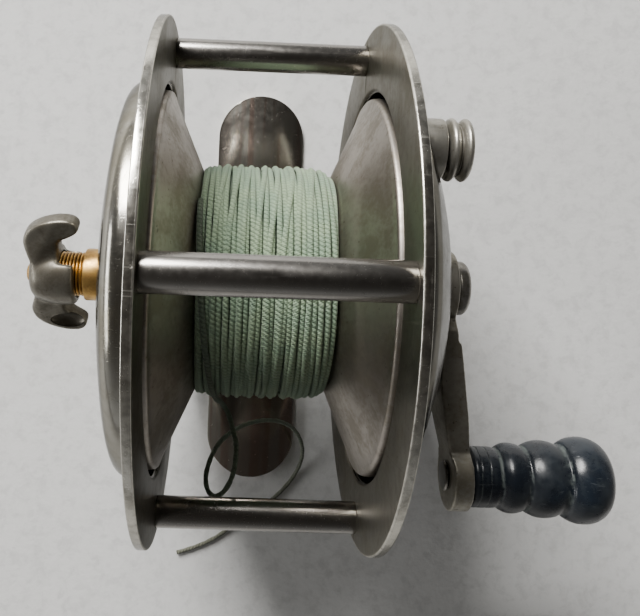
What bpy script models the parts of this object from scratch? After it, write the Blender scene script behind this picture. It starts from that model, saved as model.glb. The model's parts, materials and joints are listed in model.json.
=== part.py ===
"""Direct-drive fishing reel: two dished side plates on four pillars, a foot,
a line spool turned by a crank, a wing-nut drag and a click.

Metres, +Z up. The origin is the middle of the underside of the foot. The spool axis
runs along X above it and the crank is on the +X side.
"""
import math

import bmesh
import bpy
from mathutils import Matrix, Vector

# ------------------------------------------------------------ driving sizes
PLATE_R = 0.0380            # side plate radius
SHEET_T = 0.0007            # side plate sheet thickness
HALF_GAP = 0.0146           # mid-plane to the inner face of a plate
RECESS_R = PLATE_R - 0.0096  # inner radius of the dish that holds a flange
FLANGE_R = RECESS_R - 0.0008  # spool flange radius
PILLAR_R = 0.0023           # pillar radius
PILLAR_RHO = PLATE_R - 0.00365  # spool axis to pillar axis
PACK_R = 0.0172             # outer radius of the wound line
ARBOR_R = 0.0060            # arbor radius
SHAFT_R = 0.0025            # spool shaft radius
FOOT_LEN = 0.0762
FOOT_W = 0.0172
FOOT_T = 0.0024             # foot thickness at its middle
FOOT_EDGE_T = 0.0009
FOOT_Z = -(PILLAR_RHO + PILLAR_R + 0.00435)  # underside of the foot, from the spool axis
THROW = 0.0278              # spool axis to knob axis
ARM_END_R = 0.0050
ARM_HUB_R = 0.0055
THREAD_R = 0.0033           # brass threaded barrel radius
BOSS_R = THREAD_R + 0.0006  # brass boss collar radius
PIN_R = 0.00155             # drag pin radius
WING_TIP = THREAD_R + 0.0068  # spool axis to wing tip
CLICK_R = 0.0042            # click button radius
CLICK_Y = 0.640845 * RECESS_R
CLICK_Z = 0.510563 * RECESS_R
CLICK_STEM_R = 0.0016
SPINDLE_R = 0.0015          # knob spindle radius
LINE_R = 0.0004             # line radius

# ------------------------------------------------------------ clearances
GAP = 0.0003                # between neighbouring pieces
RUN_GAP = 0.0003            # turning fits
SLIDE_GAP = 0.0003          # sliding fits

# ------------------------------------------------------------ derived sizes
BORE_SHAFT = SHAFT_R + RUN_GAP
BORE_PIN = PIN_R + SLIDE_GAP
BORE_THREAD = THREAD_R + RUN_GAP
SCREW_R = 0.0011            # pillar screw shank radius
SCREW_BORE = SCREW_R + GAP
CLICK_RHO = math.hypot(CLICK_Y, CLICK_Z)
WHEEL_R = 0.515693 * CLICK_RHO  # ratchet wheel tip radius
WHEEL_TEETH = 12
WHEEL_X0 = HALF_GAP + 0.0013
WHEEL_X1 = WHEEL_X0 + 0.0012
PAWL_OFF_DEG = 26.0         # how far the pawl is turned away at rest

# ------------------------------------------------------------ clean start
for old in list(bpy.data.objects):
    bpy.data.objects.remove(old, do_unlink=True)

PARTS = bpy.data.collections.new("fishing_reel")
CUTS = bpy.data.collections.new("cutters")
bpy.context.scene.collection.children.link(PARTS)
bpy.context.scene.collection.children.link(CUTS)

MATERIALS = {
    "nickel": ((0.52, 0.51, 0.47, 1.0), 1.0, 0.28),
    "dark_nickel": ((0.30, 0.28, 0.24, 1.0), 1.0, 0.40),
    "steel": ((0.42, 0.42, 0.41, 1.0), 1.0, 0.33),
    "brass": ((0.62, 0.43, 0.17, 1.0), 1.0, 0.30),
    "knob_black": ((0.010, 0.013, 0.024, 1.0), 0.0, 0.22),
    "line_green": ((0.30, 0.39, 0.28, 1.0), 0.0, 0.85),
    "leather": ((0.20, 0.10, 0.05, 1.0), 0.0, 0.80),
}


def material(kind, name):
    """One Principled material for one piece."""
    colour, metallic, rough = MATERIALS[kind]
    mat = bpy.data.materials.new(name)
    mat.use_nodes = True
    shader = mat.node_tree.nodes["Principled BSDF"]
    shader.inputs["Base Color"].default_value = colour
    shader.inputs["Metallic"].default_value = metallic
    shader.inputs["Roughness"].default_value = rough
    mat.diffuse_color = colour
    return mat


def select_only(obj):
    bpy.ops.object.select_all(action="DESELECT")
    obj.select_set(True)
    bpy.context.view_layer.objects.active = obj


def keep(obj, name, kind, smooth=True):
    """Name a finished piece, give it a material and file it."""
    obj.name = name
    obj.data.name = name
    obj.data.materials.clear()
    obj.data.materials.append(material(kind, "mat_" + name))
    for coll in list(obj.users_collection):
        coll.objects.unlink(obj)
    PARTS.objects.link(obj)
    select_only(obj)
    if smooth:
        bpy.ops.object.shade_smooth_by_angle(angle=math.radians(35.0))
    return obj


def file_cutter(obj, name):
    obj.name = name
    for coll in list(obj.users_collection):
        coll.objects.unlink(obj)
    CUTS.objects.link(obj)
    obj.hide_render = True
    obj.display_type = "WIRE"
    return obj


def apply_all(obj):
    select_only(obj)
    for mod in list(obj.modifiers):
        bpy.ops.object.modifier_apply(modifier=mod.name)


def signed_area(pts):
    total = 0.0
    for i, (r0, z0) in enumerate(pts):
        r1, z1 = pts[(i + 1) % len(pts)]
        total += r0 * z1 - r1 * z0
    return total / 2.0


def turned(pts, steps=48, closed=True, centre=(0.0, 0.0, 0.0)):
    """Turn a profile of (radius, x) points about the X axis.

    The object's local Z is laid along world +X, its origin is `centre`
    and x is measured from the world origin.
    """
    pts = [(r, x - centre[0]) for r, x in pts]
    if signed_area(pts) > 0.0:
        pts.reverse()
    if not closed and pts[0][0] > 1e-9:
        raise ValueError("an open profile starts on the axis")
    mesh = bpy.data.meshes.new("turned")
    verts = [(r, 0.0, z) for r, z in pts]
    edges = [(i, i + 1) for i in range(len(pts) - 1)]
    if closed:
        edges.append((len(pts) - 1, 0))
    mesh.from_pydata(verts, edges, [])
    obj = bpy.data.objects.new("turned", mesh)
    bpy.context.scene.collection.objects.link(obj)
    mod = obj.modifiers.new("turn", "SCREW")
    mod.axis = "Z"
    mod.steps = steps
    mod.render_steps = steps
    mod.use_merge_vertices = True
    mod.merge_threshold = 0.000001
    mod.use_smooth_shade = True
    apply_all(obj)
    bm = bmesh.new()
    bm.from_mesh(obj.data)
    bmesh.ops.remove_doubles(bm, verts=bm.verts, dist=1e-7)
    bmesh.ops.recalc_face_normals(bm, faces=bm.faces)
    bm.to_mesh(obj.data)
    bm.free()
    obj.rotation_euler = (0.0, math.radians(90.0), 0.0)
    obj.location = centre
    return obj


def rod(radius, x0, x1, y=0.0, z=0.0, segments=24):
    """A plain round bar along X."""
    bpy.ops.mesh.primitive_cylinder_add(
        vertices=segments, radius=radius, depth=x1 - x0,
        location=((x0 + x1) / 2.0, y, z), rotation=(0.0, math.radians(90.0), 0.0))
    return bpy.context.object


def upright(radius, z0, z1, x=0.0, y=0.0, segments=24, radius2=None):
    """A round bar or cone along Z."""
    if radius2 is None:
        bpy.ops.mesh.primitive_cylinder_add(
            vertices=segments, radius=radius, depth=z1 - z0,
            location=(x, y, (z0 + z1) / 2.0))
    else:
        bpy.ops.mesh.primitive_cone_add(
            vertices=segments, radius1=radius, radius2=radius2, depth=z1 - z0,
            location=(x, y, (z0 + z1) / 2.0))
    return bpy.context.object


def box(size, centre):
    bpy.ops.mesh.primitive_cube_add(size=1.0, location=centre)
    obj = bpy.context.object
    obj.scale = size
    bpy.ops.object.transform_apply(location=False, rotation=False, scale=True)
    return obj


def bevel(obj, width, segments=2, angle=35.0):
    mod = obj.modifiers.new("bevel", "BEVEL")
    mod.width = width
    mod.segments = segments
    mod.limit_method = "ANGLE"
    mod.angle_limit = math.radians(angle)
    apply_all(obj)


def combine(obj, other, operation, name):
    """Boolean `other` into `obj`; `other` stays behind as a filed cutter."""
    file_cutter(other, name)
    mod = obj.modifiers.new(name, "BOOLEAN")
    mod.operation = operation
    mod.solver = "EXACT"
    mod.object = other
    apply_all(obj)
    bm = bmesh.new()
    bm.from_mesh(obj.data)
    bmesh.ops.remove_doubles(bm, verts=bm.verts, dist=2e-7)
    bmesh.ops.dissolve_degenerate(bm, edges=bm.edges, dist=1e-7)
    bm.to_mesh(obj.data)
    bm.free()
    return obj


def cut(obj, other, name):
    return combine(obj, other, "DIFFERENCE", name)


def outline_solid(points, depth, axis, start):
    """Extrude a flat 2-D outline. axis 'X': points are (y, z); 'Z': (x, y)."""
    curve = bpy.data.curves.new("outline", "CURVE")
    curve.dimensions = "2D"
    curve.fill_mode = "BOTH"
    curve.extrude = depth / 2.0
    spline = curve.splines.new("POLY")
    spline.points.add(len(points) - 1)
    for i, (a, b) in enumerate(points):
        spline.points[i].co = (a, b, 0.0, 1.0)
    spline.use_cyclic_u = True
    shape = bpy.data.objects.new("outline", curve)
    bpy.context.scene.collection.objects.link(shape)
    depsgraph = bpy.context.evaluated_depsgraph_get()
    mesh = bpy.data.meshes.new_from_object(shape.evaluated_get(depsgraph))
    bpy.data.objects.remove(shape, do_unlink=True)
    mesh.transform(Matrix.Translation((0.0, 0.0, start + depth / 2.0)))
    if axis == "X":
        mesh.transform(Matrix(((0, 0, 1, 0), (1, 0, 0, 0), (0, 1, 0, 0), (0, 0, 0, 1))))
    bm = bmesh.new()
    bm.from_mesh(mesh)
    bmesh.ops.remove_doubles(bm, verts=bm.verts, dist=1e-7)
    bmesh.ops.recalc_face_normals(bm, faces=bm.faces)
    bm.to_mesh(mesh)
    bm.free()
    obj = bpy.data.objects.new("outline", mesh)
    bpy.context.scene.collection.objects.link(obj)
    return obj


def arc(cx, cy, radius, a0, a1, count):
    out = []
    for i in range(count):
        a = math.radians(a0 + (a1 - a0) * i / (count - 1))
        out.append((cx + radius * math.cos(a), cy + radius * math.sin(a)))
    return out


def set_origin(obj, point):
    """Move the origin of a piece without moving its surface."""
    shift = Matrix.Translation(Vector(point))
    obj.data.transform(shift.inverted() @ obj.matrix_world)
    obj.matrix_world = shift


# ------------------------------------------------------------ side plates
# (radius, distance outwards from the inner face of the plate)
LEFT_DISH = [
    (RECESS_R + 0.0013, 0.00070), (RECESS_R + 0.0008, 0.00130), (RECESS_R + 0.0005, 0.00380),
    (RECESS_R - 0.0004, 0.00500), (RECESS_R - 0.0020, 0.00560), (0.70422 * RECESS_R, 0.00700),
    (0.45775 * RECESS_R, 0.00800),
]
LEFT_TOP = 0.00840          # outer face of the left dish at its middle
RIGHT_DISH = [
    (RECESS_R + 0.0013, 0.00070), (RECESS_R + 0.0008, 0.00130), (RECESS_R + 0.0004, 0.00360),
    (RECESS_R - 0.0006, 0.00470), (RECESS_R - 0.0022, 0.00540), (0.70422 * RECESS_R, 0.00800),
    (0.44014 * RECESS_R, 0.01020),
]
RIGHT_TOP = 0.01060         # outer face of the right dish at its middle


def dish_profile(dish, top, bore):
    """Closed profile of a side plate as (radius, outward distance)."""
    edge = 0.00012
    outer = [(PLATE_R - edge, SHEET_T)]
    outer += dish
    outer += [(0.0085, top), (bore, top)]
    inner = [(bore, top - SHEET_T), (0.0085 - 0.0001, top - SHEET_T)]
    for r, x in reversed(dish[1:]):
        steep = 1.0 if x < 0.0045 else 0.25
        inner.append((r - SHEET_T * steep, x - SHEET_T * (1.0 if steep < 1.0 else 0.45)))
    inner += [(RECESS_R, 0.00045), (RECESS_R + 0.0005, 0.0), (PLATE_R - edge, 0.0)]
    rim = [(PLATE_R, edge), (PLATE_R, SHEET_T - edge)]
    return outer + inner + rim


def side_plate(side, dish, top, bore, name):
    pts = [(r, side * (HALF_GAP + x)) for r, x in dish_profile(dish, top, bore)]
    obj = turned(pts, steps=44)
    for i in range(4):
        a = math.radians(90.0 * i)
        y = PILLAR_RHO * math.sin(a)
        z = PILLAR_RHO * math.cos(a)
        x0 = side * HALF_GAP
        hole = rod(SCREW_BORE, min(x0 - 0.002, x0 + 0.002), max(x0 - 0.002, x0 + 0.002),
                   y, z, 12)
        cut(obj, hole, f"cut_{name}_{i + 1}")
    return obj


boss_neck = max(BOSS_R - 0.0006, BORE_SHAFT + 0.0005)  # radius of the boss in its plate
left_plate = side_plate(-1.0, LEFT_DISH, LEFT_TOP, boss_neck + GAP, "left_hole")
keep(left_plate, "left_side_plate", "nickel")

BEARING_R = SHAFT_R + 0.0014
right_plate = side_plate(1.0, RIGHT_DISH, RIGHT_TOP, BEARING_R + GAP, "right_hole")
click_hole = rod(CLICK_R - 0.0001 + GAP, HALF_GAP + 0.0015, HALF_GAP + 0.0125,
                 CLICK_Y, CLICK_Z, 24)
cut(right_plate, click_hole, "cut_click_hole")
keep(right_plate, "right_side_plate", "nickel")

# ------------------------------------------------------------ pillars, screws
PILLARS = (("near", 0.0), ("back", 90.0), ("bottom", 180.0), ("front", 270.0))
FOOT_SCREW_X = 0.0040
for label, deg in PILLARS:
    a = math.radians(deg)
    y = PILLAR_RHO * math.sin(a)
    z = PILLAR_RHO * math.cos(a)
    end = HALF_GAP - GAP
    bar = rod(PILLAR_R, -end, end, y, z, 20)
    for side, word in ((-1.0, "left"), (1.0, "right")):
        x_out = side * (end + 0.001)
        x_in = side * (end - 0.0052)
        bore = rod(SCREW_BORE, min(x_out, x_in), max(x_out, x_in), y, z, 10)
        cut(bar, bore, f"cut_bore_{label}_{word}")
    if label == "bottom":
        for k, sx in enumerate((-FOOT_SCREW_X, FOOT_SCREW_X)):
            bore = upright(0.0010 + GAP, z - 0.004, z + 0.0004, sx, y, 10)
            cut(bar, bore, f"cut_bottom_{k + 1}")
    keep(bar, "pillar_" + label, "steel")

for label, deg in PILLARS:
    a = math.radians(deg)
    y = PILLAR_RHO * math.sin(a)
    z = PILLAR_RHO * math.cos(a)
    for side, word in ((-1.0, "left"), (1.0, "right")):
        face = HALF_GAP + SHEET_T + GAP
        prof = [(0.0, face + 0.00120), (0.0011, face + 0.00100),
                (0.0017, face + 0.00040), (0.00175, face), (SCREW_R, face),
                (SCREW_R, HALF_GAP - 0.0045), (0.0, HALF_GAP - 0.0045)]
        pts = [(r, side * x) for r, x in prof]
        screw = turned(pts, 12, closed=False)
        screw.location = (0.0, y, z)
        slot = box((0.0010, 0.0005, 0.0050), (side * (face + 0.00115), y, z))
        slot.rotation_euler = (math.radians(deg + (25.0 if side > 0 else 70.0)), 0.0, 0.0)
        cut(screw, slot, f"cut_slot_{label}_{word}")
        keep(screw, f"pillar_screw_{label}_{word}", "steel")

# ------------------------------------------------------------ foot
half_l = FOOT_LEN / 2.0
half_w = FOOT_W / 2.0
end_r = half_w * 0.98
outline = arc(0.0, half_l - end_r, half_w, 0.0, 180.0, 15)
outline += arc(0.0, -(half_l - end_r), half_w, 180.0, 360.0, 15)
foot = outline_solid(outline, FOOT_T + 0.001, "Z", FOOT_Z)
drop = FOOT_T - FOOT_EDGE_T
crown_r = (half_w ** 2 + drop ** 2) / (2.0 * drop)
bpy.ops.mesh.primitive_cylinder_add(
    vertices=120, radius=crown_r, depth=FOOT_LEN + 0.02,
    location=(0.0, 0.0, FOOT_Z + FOOT_T - crown_r), rotation=(math.radians(90.0), 0.0, 0.0))
combine(foot, bpy.context.object, "INTERSECT", "cut_foot_crown")
saddle_z0 = FOOT_Z + FOOT_T + GAP
saddle_z1 = -PILLAR_RHO - 0.0006
saddle = box((0.0130, 0.0092, saddle_z1 - saddle_z0), (0.0, 0.0, (saddle_z0 + saddle_z1) / 2.0))
bevel(saddle, 0.0005, 1)
cut(saddle, rod(PILLAR_R + GAP, -0.010, 0.010, 0.0, -PILLAR_RHO, 20), "cut_saddle_groove")
for k, sx in enumerate((-FOOT_SCREW_X, FOOT_SCREW_X)):
    cut(saddle, upright(0.0010 + GAP, FOOT_Z - 0.002, -PILLAR_RHO, sx, 0.0, 10),
        f"cut_saddle_{k + 1}")
    cut(foot, upright(0.0010 + GAP, FOOT_Z - 0.002, FOOT_Z + 0.006, sx, 0.0, 12),
        f"cut_foot_{k + 1}")
    cut(foot, upright(0.0024, FOOT_Z - 0.0001, FOOT_Z + 0.0013, sx, 0.0, 12, 0.0011),
        f"cut_sink_{k + 1}")
keep(foot, "reel_foot", "nickel")
keep(saddle, "foot_saddle", "nickel")

for k, sx in enumerate((-FOOT_SCREW_X, FOOT_SCREW_X)):
    z0 = FOOT_Z + 0.0002
    prof = [(0.0, -PILLAR_RHO + 0.0001), (0.0010, -PILLAR_RHO - 0.0002),
            (0.0010, z0 + 0.0010), (0.0019, z0 + 0.0001), (0.0019, z0), (0.0, z0)]
    bolt = turned(prof, 12, closed=False)
    bolt.rotation_euler = (0.0, 0.0, 0.0)
    bolt.location = (sx, 0.0, 0.0)
    slot = box((0.0050, 0.0005, 0.0010), (sx, 0.0, z0))
    cut(bolt, slot, f"cut_foot_slot_{k + 1}")
    keep(bolt, f"foot_screw_{k + 1}", "steel")

# ------------------------------------------------------------ left boss
TOP_L = HALF_GAP + LEFT_TOP               # outer face of the left dish
CUP_X = TOP_L                             # bottom of the bearing cup
COLLAR_X = TOP_L + 0.0036
BARREL_X = TOP_L + 0.0080
boss_pts = [
    (BOSS_R, TOP_L + GAP), (BOSS_R, COLLAR_X - 0.0003), (BOSS_R - 0.0003, COLLAR_X),
    (THREAD_R, COLLAR_X)]
x_thread = COLLAR_X + 0.0004
while x_thread < BARREL_X - 0.0009:
    boss_pts += [(THREAD_R, x_thread), (THREAD_R - 0.00032, x_thread + 0.0004)]
    x_thread += 0.0008
boss_pts += [
    (THREAD_R, BARREL_X - 0.0005), (THREAD_R - 0.0004, BARREL_X), (BORE_PIN, BARREL_X),
    (BORE_PIN, CUP_X), (BORE_SHAFT, CUP_X), (BORE_SHAFT, TOP_L - 0.0065),
    (SHAFT_R + 0.0021, TOP_L - 0.0065), (SHAFT_R + 0.0025, TOP_L - 0.0061),
    (SHAFT_R + 0.0025, TOP_L - 0.0025), (BOSS_R + 0.0027, TOP_L - 0.0020),
    (BOSS_R + 0.0027, TOP_L - SHEET_T - GAP),
    (boss_neck, TOP_L - SHEET_T - GAP), (boss_neck, TOP_L + GAP)]
boss = turned([(r, -x) for r, x in boss_pts], 20)
keep(boss, "drag_boss", "brass")

# ------------------------------------------------------------ drag pin, pad, wing nut
PAD_X0 = TOP_L - 0.0028
PIN_AT = -(TOP_L + 0.0070)
pin_pts = [(0.0, -TOP_L - 0.0123), (PIN_R - 0.00055, -TOP_L - 0.0123), (PIN_R, -TOP_L - 0.0119),
           (PIN_R, -TOP_L + 0.0014), (PIN_R - 0.00035, -TOP_L + 0.0017), (0.0, -TOP_L + 0.0017)]
pin = turned(pin_pts, 16, closed=False, centre=(PIN_AT, 0.0, 0.0))
keep(pin, "drag_pin", "brass")
pad_r = SHAFT_R - GAP
pad_pts = [(0.0, -PAD_X0 - 0.0008), (pad_r, -PAD_X0 - 0.0008), (pad_r, -PAD_X0 - 0.0001),
           (pad_r - 0.0002, -PAD_X0), (0.0, -PAD_X0)]
pad = turned(pad_pts, 16, closed=False, centre=(PIN_AT, 0.0, 0.0))
keep(pad, "drag_pad", "leather")

NUT_X0 = TOP_L + 0.0048
NUT_X1 = TOP_L + 0.0116
NUT_R = THREAD_R + 0.0013
nut_hub = turned([(0.0, -NUT_X0), (NUT_R - 0.0004, -NUT_X0), (NUT_R, -NUT_X0 - 0.0005),
                  (NUT_R, -BARREL_X), (NUT_R - 0.0006, -NUT_X1 + 0.0010),
                  (NUT_R - 0.0012, -NUT_X1), (0.0, -NUT_X1)], 24, closed=False)
# Wing outline as (distance outside the left dish, distance outside the thread).
WING_OUTLINE = [
    (0.0108, -0.0010), (0.0122, 0.0015), (0.0122, 0.0031), (0.0108, 0.0049),
    (0.0086, 0.0062), (0.0063, WING_TIP - THREAD_R), (0.0047, 0.0066), (0.0039, 0.0057),
    (0.0044, 0.0043), (0.0055, 0.0031), (0.0061, 0.0020), (0.0059, 0.0007),
    (0.0060, -0.0010)]
for k in range(2):
    flip = 1.0 if k == 0 else -1.0
    pts = [(-TOP_L - x, flip * (THREAD_R + r)) for x, r in WING_OUTLINE]
    wing = outline_solid(pts, 0.0021, "Z", -0.00105)
    bevel(wing, 0.0006, 2, 50.0)
    combine(nut_hub, wing, "UNION", f"add_wing_{k + 1}")
nut_bore = turned([(0.0, -NUT_X0 + 0.0008), (BORE_THREAD, -NUT_X0 + 0.0008),
                   (BORE_THREAD, -BARREL_X - 0.0013), (BORE_PIN, -BARREL_X - 0.0013),
                   (BORE_PIN, -NUT_X1 - 0.0009), (0.0, -NUT_X1 - 0.0009)],
                  24, closed=False)
cut(nut_hub, nut_bore, "cut_nut_bore")
nut_hub.data.transform(nut_hub.matrix_world)
nut_hub.matrix_world = Matrix.Identity(4)
nut_hub.data.transform(Matrix.Rotation(math.radians(37.0), 4, "X"))
set_origin(nut_hub, (PIN_AT, 0.0, 0.0))
keep(nut_hub, "wing_nut", "dark_nickel")

# ------------------------------------------------------------ right bearing
TOP_R = HALF_GAP + RIGHT_TOP
bearing = turned([
    (BORE_SHAFT, TOP_R - 0.0057), (BEARING_R + 0.0007, TOP_R - 0.0057),
    (BEARING_R + 0.0011, TOP_R - 0.0053), (BEARING_R + 0.0011, TOP_R - SHEET_T - GAP),
    (BEARING_R, TOP_R - SHEET_T - GAP), (BEARING_R, TOP_R + GAP), (BEARING_R + 0.0013, TOP_R + GAP),
    (BEARING_R + 0.0011, TOP_R + GAP + 0.0006), (BORE_SHAFT, TOP_R + GAP + 0.0006)], 24)
keep(bearing, "crank_bearing", "brass")

# ------------------------------------------------------------ spool
SHAFT_X0 = -TOP_L + 0.0040
SHAFT_X1 = TOP_R + GAP + 0.0007
ARM_X0 = SHAFT_X1 + GAP
ARM_X1 = ARM_X0 + 0.0017
STUB_R = SHAFT_R - 0.0005    # stub that carries the crank
shaft = turned([
    (0.0, SHAFT_X0), (SHAFT_R - 0.0006, SHAFT_X0), (SHAFT_R, SHAFT_X0 + 0.0005),
    (SHAFT_R, SHAFT_X1), (STUB_R, SHAFT_X1), (STUB_R, ARM_X1 - 0.0001), (0.0012, ARM_X1 - 0.0001),
    (0.0012, ARM_X1 - 0.0050), (0.0, ARM_X1 - 0.0050)], 20, closed=False)
keep(shaft, "spool_shaft", "steel")

FLANGE_RIM_X = HALF_GAP + 0.0002  # middle of a flange's rolled rim
CONE_X0 = HALF_GAP - 0.0094  # inner face of a flange at the arbor
ARBOR_HALF = CONE_X0 - GAP
arbor = turned([
    (BORE_SHAFT, -ARBOR_HALF), (ARBOR_R - 0.0006, -ARBOR_HALF), (ARBOR_R, -ARBOR_HALF + 0.0006),
    (ARBOR_R, ARBOR_HALF - 0.0006), (ARBOR_R - 0.0006, ARBOR_HALF), (BORE_SHAFT, ARBOR_HALF)], 24)
keep(arbor, "spool_arbor", "brass")

CONE_SLOPE = (HALF_GAP - 0.0004 - CONE_X0) / (FLANGE_R - 0.0008 - ARBOR_R)


def cone_x(radius):
    """Inner face of a flange at a radius."""
    return CONE_X0 + (radius - ARBOR_R) * CONE_SLOPE


for side, word in ((-1.0, "left"), (1.0, "right")):
    t = 0.0006
    pts = [(BORE_SHAFT, CONE_X0), (ARBOR_R, CONE_X0),
           (FLANGE_R - 0.0010, cone_x(FLANGE_R - 0.0010))]
    pts += [(FLANGE_R - 0.0006 * (1.0 - math.cos(a)), FLANGE_RIM_X + 0.0006 * math.sin(a))
            for a in [math.radians(d) for d in (-70, -15, 40, 95, 140)]]
    pts += [(FLANGE_R - 0.0012, cone_x(FLANGE_R - 0.0010) + t),
            (ARBOR_R - 0.0002, CONE_X0 + t), (SHAFT_R + 0.0021, CONE_X0 + t),
           (SHAFT_R + 0.0021, CONE_X0 + 0.0038), (BORE_SHAFT, CONE_X0 + 0.0038)]
    flange = turned([(r, side * x) for r, x in pts], 40)
    keep(flange, f"{word}_flange", "nickel")

PACK_GAP = GAP + 0.00005
pack_pts = [
    (ARBOR_R + GAP, -(cone_x(ARBOR_R + GAP) - PACK_GAP)),
    (PACK_R - 0.0005, -(cone_x(PACK_R - 0.0005) - PACK_GAP)), (PACK_R, -cone_x(PACK_R) + 0.00074),
    (PACK_R, cone_x(PACK_R) - 0.00204), (PACK_R - 0.0004, cone_x(PACK_R) - 0.00114),
    (PACK_R - 0.0010, cone_x(PACK_R) - 0.00074),
    (PACK_R - 0.0014, cone_x(PACK_R - 0.0014) - PACK_GAP),
    (ARBOR_R + GAP, cone_x(ARBOR_R + GAP) - PACK_GAP)]
pack = turned(pack_pts, 40)
keep(pack, "line_pack", "line_green")

# ------------------------------------------------------------ ratchet wheel
click_dir = math.atan2(CLICK_Z, CLICK_Y)
pitch = 2.0 * math.pi / WHEEL_TEETH
root_r = WHEEL_R - 0.0013
wheel_pts = []
for i in range(WHEEL_TEETH):
    a = click_dir + (i + 0.5) * pitch
    for off, r in ((-0.36, root_r), (-0.10, WHEEL_R), (0.10, WHEEL_R), (0.36, root_r)):
        wheel_pts.append((r * math.cos(a + off * pitch), r * math.sin(a + off * pitch)))
wheel = outline_solid(wheel_pts, WHEEL_X1 - WHEEL_X0, "X", WHEEL_X0)
hub = rod(SHAFT_R + 0.0023, WHEEL_X0 - 0.0030, WHEEL_X1 + 0.0012, 0.0, 0.0, 20)
combine(wheel, hub, "UNION", "add_wheel_hub")
cut(wheel, rod(BORE_SHAFT, WHEEL_X0 - 0.006, WHEEL_X1 + 0.005, 0.0, 0.0, 20), "cut_wheel_bore")
keep(wheel, "ratchet_wheel", "brass")

# ------------------------------------------------------------ click
POST_X0 = HALF_GAP + 0.0040
POST_X1 = HALF_GAP + 0.0078
HEAD_X0 = HALF_GAP + 0.0082
HEAD_X1 = HALF_GAP + 0.0114
STEM_X0 = HALF_GAP + 0.0031
CLICK_AT = (HEAD_X0, CLICK_Y, CLICK_Z)
post = turned([(CLICK_STEM_R + RUN_GAP, POST_X0), (CLICK_R - 0.0001, POST_X0),
               (CLICK_R - 0.0001, POST_X1 - 0.0002), (CLICK_R - 0.0003, POST_X1),
               (CLICK_STEM_R + RUN_GAP, POST_X1)], 24)
post.location = (0.0, CLICK_Y, CLICK_Z)
keep(post, "click_post", "nickel")

c_r = CLICK_R
head_pts = [
    (0.0, STEM_X0), (CLICK_STEM_R, STEM_X0), (CLICK_STEM_R, HEAD_X0), (c_r - 0.0009, HEAD_X0),
    (c_r - 0.0002, HEAD_X0 + 0.0003), (c_r + 0.0001, HEAD_X0 + 0.0007),
    (c_r - 0.0002, HEAD_X0 + 0.0011), (c_r - 0.0007, HEAD_X0 + 0.0015),
    (c_r - 0.0007, HEAD_X0 + 0.0018), (c_r - 0.0001, HEAD_X0 + 0.0022),
    (c_r + 0.0001, HEAD_X0 + 0.0026), (c_r - 0.0003, HEAD_X0 + 0.0030),
    (c_r - 0.0010, HEAD_X1), (0.0, HEAD_X1 - 0.0001)]
head_pts = [(r, x) for r, x in head_pts]
button = turned(head_pts, 24, closed=False, centre=(CLICK_AT[0], 0.0, 0.0))
button.location = CLICK_AT
keep(button, "click_button", "nickel")

# The pawl points at the spool axis when the click is on and is turned away at rest.
reach = CLICK_RHO - WHEEL_R + 0.0003
inward = Vector((0.0, -math.cos(click_dir), -math.sin(click_dir)))
pawl_plan = arc(0.0, 0.0, 0.0023, 70.0, 290.0, 13)
pawl_plan += [(0.0050, -0.0016), (reach - 0.0016, -0.0010), (reach, -0.0004),
              (reach, 0.0004), (reach - 0.0016, 0.0010), (0.0050, 0.0016)]
turn_to = math.atan2(inward.z, inward.y) + math.radians(PAWL_OFF_DEG)
spun = []
for u, v in pawl_plan:
    spun.append((CLICK_Y + u * math.cos(turn_to) - v * math.sin(turn_to),
                 CLICK_Z + u * math.sin(turn_to) + v * math.cos(turn_to)))
pawl = outline_solid(spun, 0.0010, "X", WHEEL_X0 + 0.0001)
pawl_hole = rod(0.0009 + RUN_GAP, WHEEL_X0 - 0.0009, WHEEL_X0 + 0.0021, CLICK_Y, CLICK_Z, 12)
cut(pawl, pawl_hole, "cut_pawl_hole")
set_origin(pawl, (WHEEL_X0 + 0.0006, CLICK_Y, CLICK_Z))
keep(pawl, "click_pawl", "steel")

# Pivot pin of the pawl with its retaining head, fixed in the button stem.
pivot = turned([(0.0, WHEEL_X0 - 0.0005), (0.0013, WHEEL_X0 - 0.0005), (0.0015, WHEEL_X0 - 0.0002),
                (0.0009, WHEEL_X0 - 0.0002), (0.0009, STEM_X0 - GAP), (0.0, STEM_X0 - GAP)],
               12, closed=False)
pivot.location = (0.0, CLICK_Y, CLICK_Z)
keep(pivot, "pawl_pivot", "brass")

# ------------------------------------------------------------ crank
KNOB_AT = (0.0, -THROW, 0.0)
far = THROW + ARM_END_R + 0.0007
side_pts = [
    (ARM_X0, ARM_HUB_R + 0.001), (ARM_X0, -0.0060), (ARM_X0 + 0.0002, -0.39568 * THROW),
    (ARM_X0 + 0.0007, -0.59353 * THROW), (ARM_X0 + 0.0014, -0.79137 * THROW),
    (ARM_X0 + 0.0016, -THROW + 0.0018), (ARM_X0 + 0.0016, -far), (ARM_X0 + 0.0044, -far),
    (ARM_X0 + 0.0044, -THROW + 0.0023), (ARM_X0 + 0.0040, -0.79137 * THROW),
    (ARM_X0 + 0.0034, -0.64748 * THROW), (ARM_X0 + 0.0026, -0.44964 * THROW),
    (ARM_X0 + 0.0019, -0.28777 * THROW), (ARM_X1, -0.0055), (ARM_X1, ARM_HUB_R + 0.001)]
arm = outline_solid(side_pts, 0.014, "Z", -0.007)
plan = arc(0.0, 0.0, ARM_HUB_R, -52.0, 232.0, 17)
plan = [(py, pz) for pz, py in plan]
neck = 0.0030
low = arc(0.0, 0.0, ARM_END_R, 128.0, 412.0, 17)
low = [(py - THROW, pz) for pz, py in low]
blank = [(a, b) for a, b in plan]
blank += [(-0.30576 * THROW, -neck - 0.0004), (-0.50360 * THROW, -neck),
          (-0.70144 * THROW, -neck - 0.0003)]
blank += low
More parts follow.
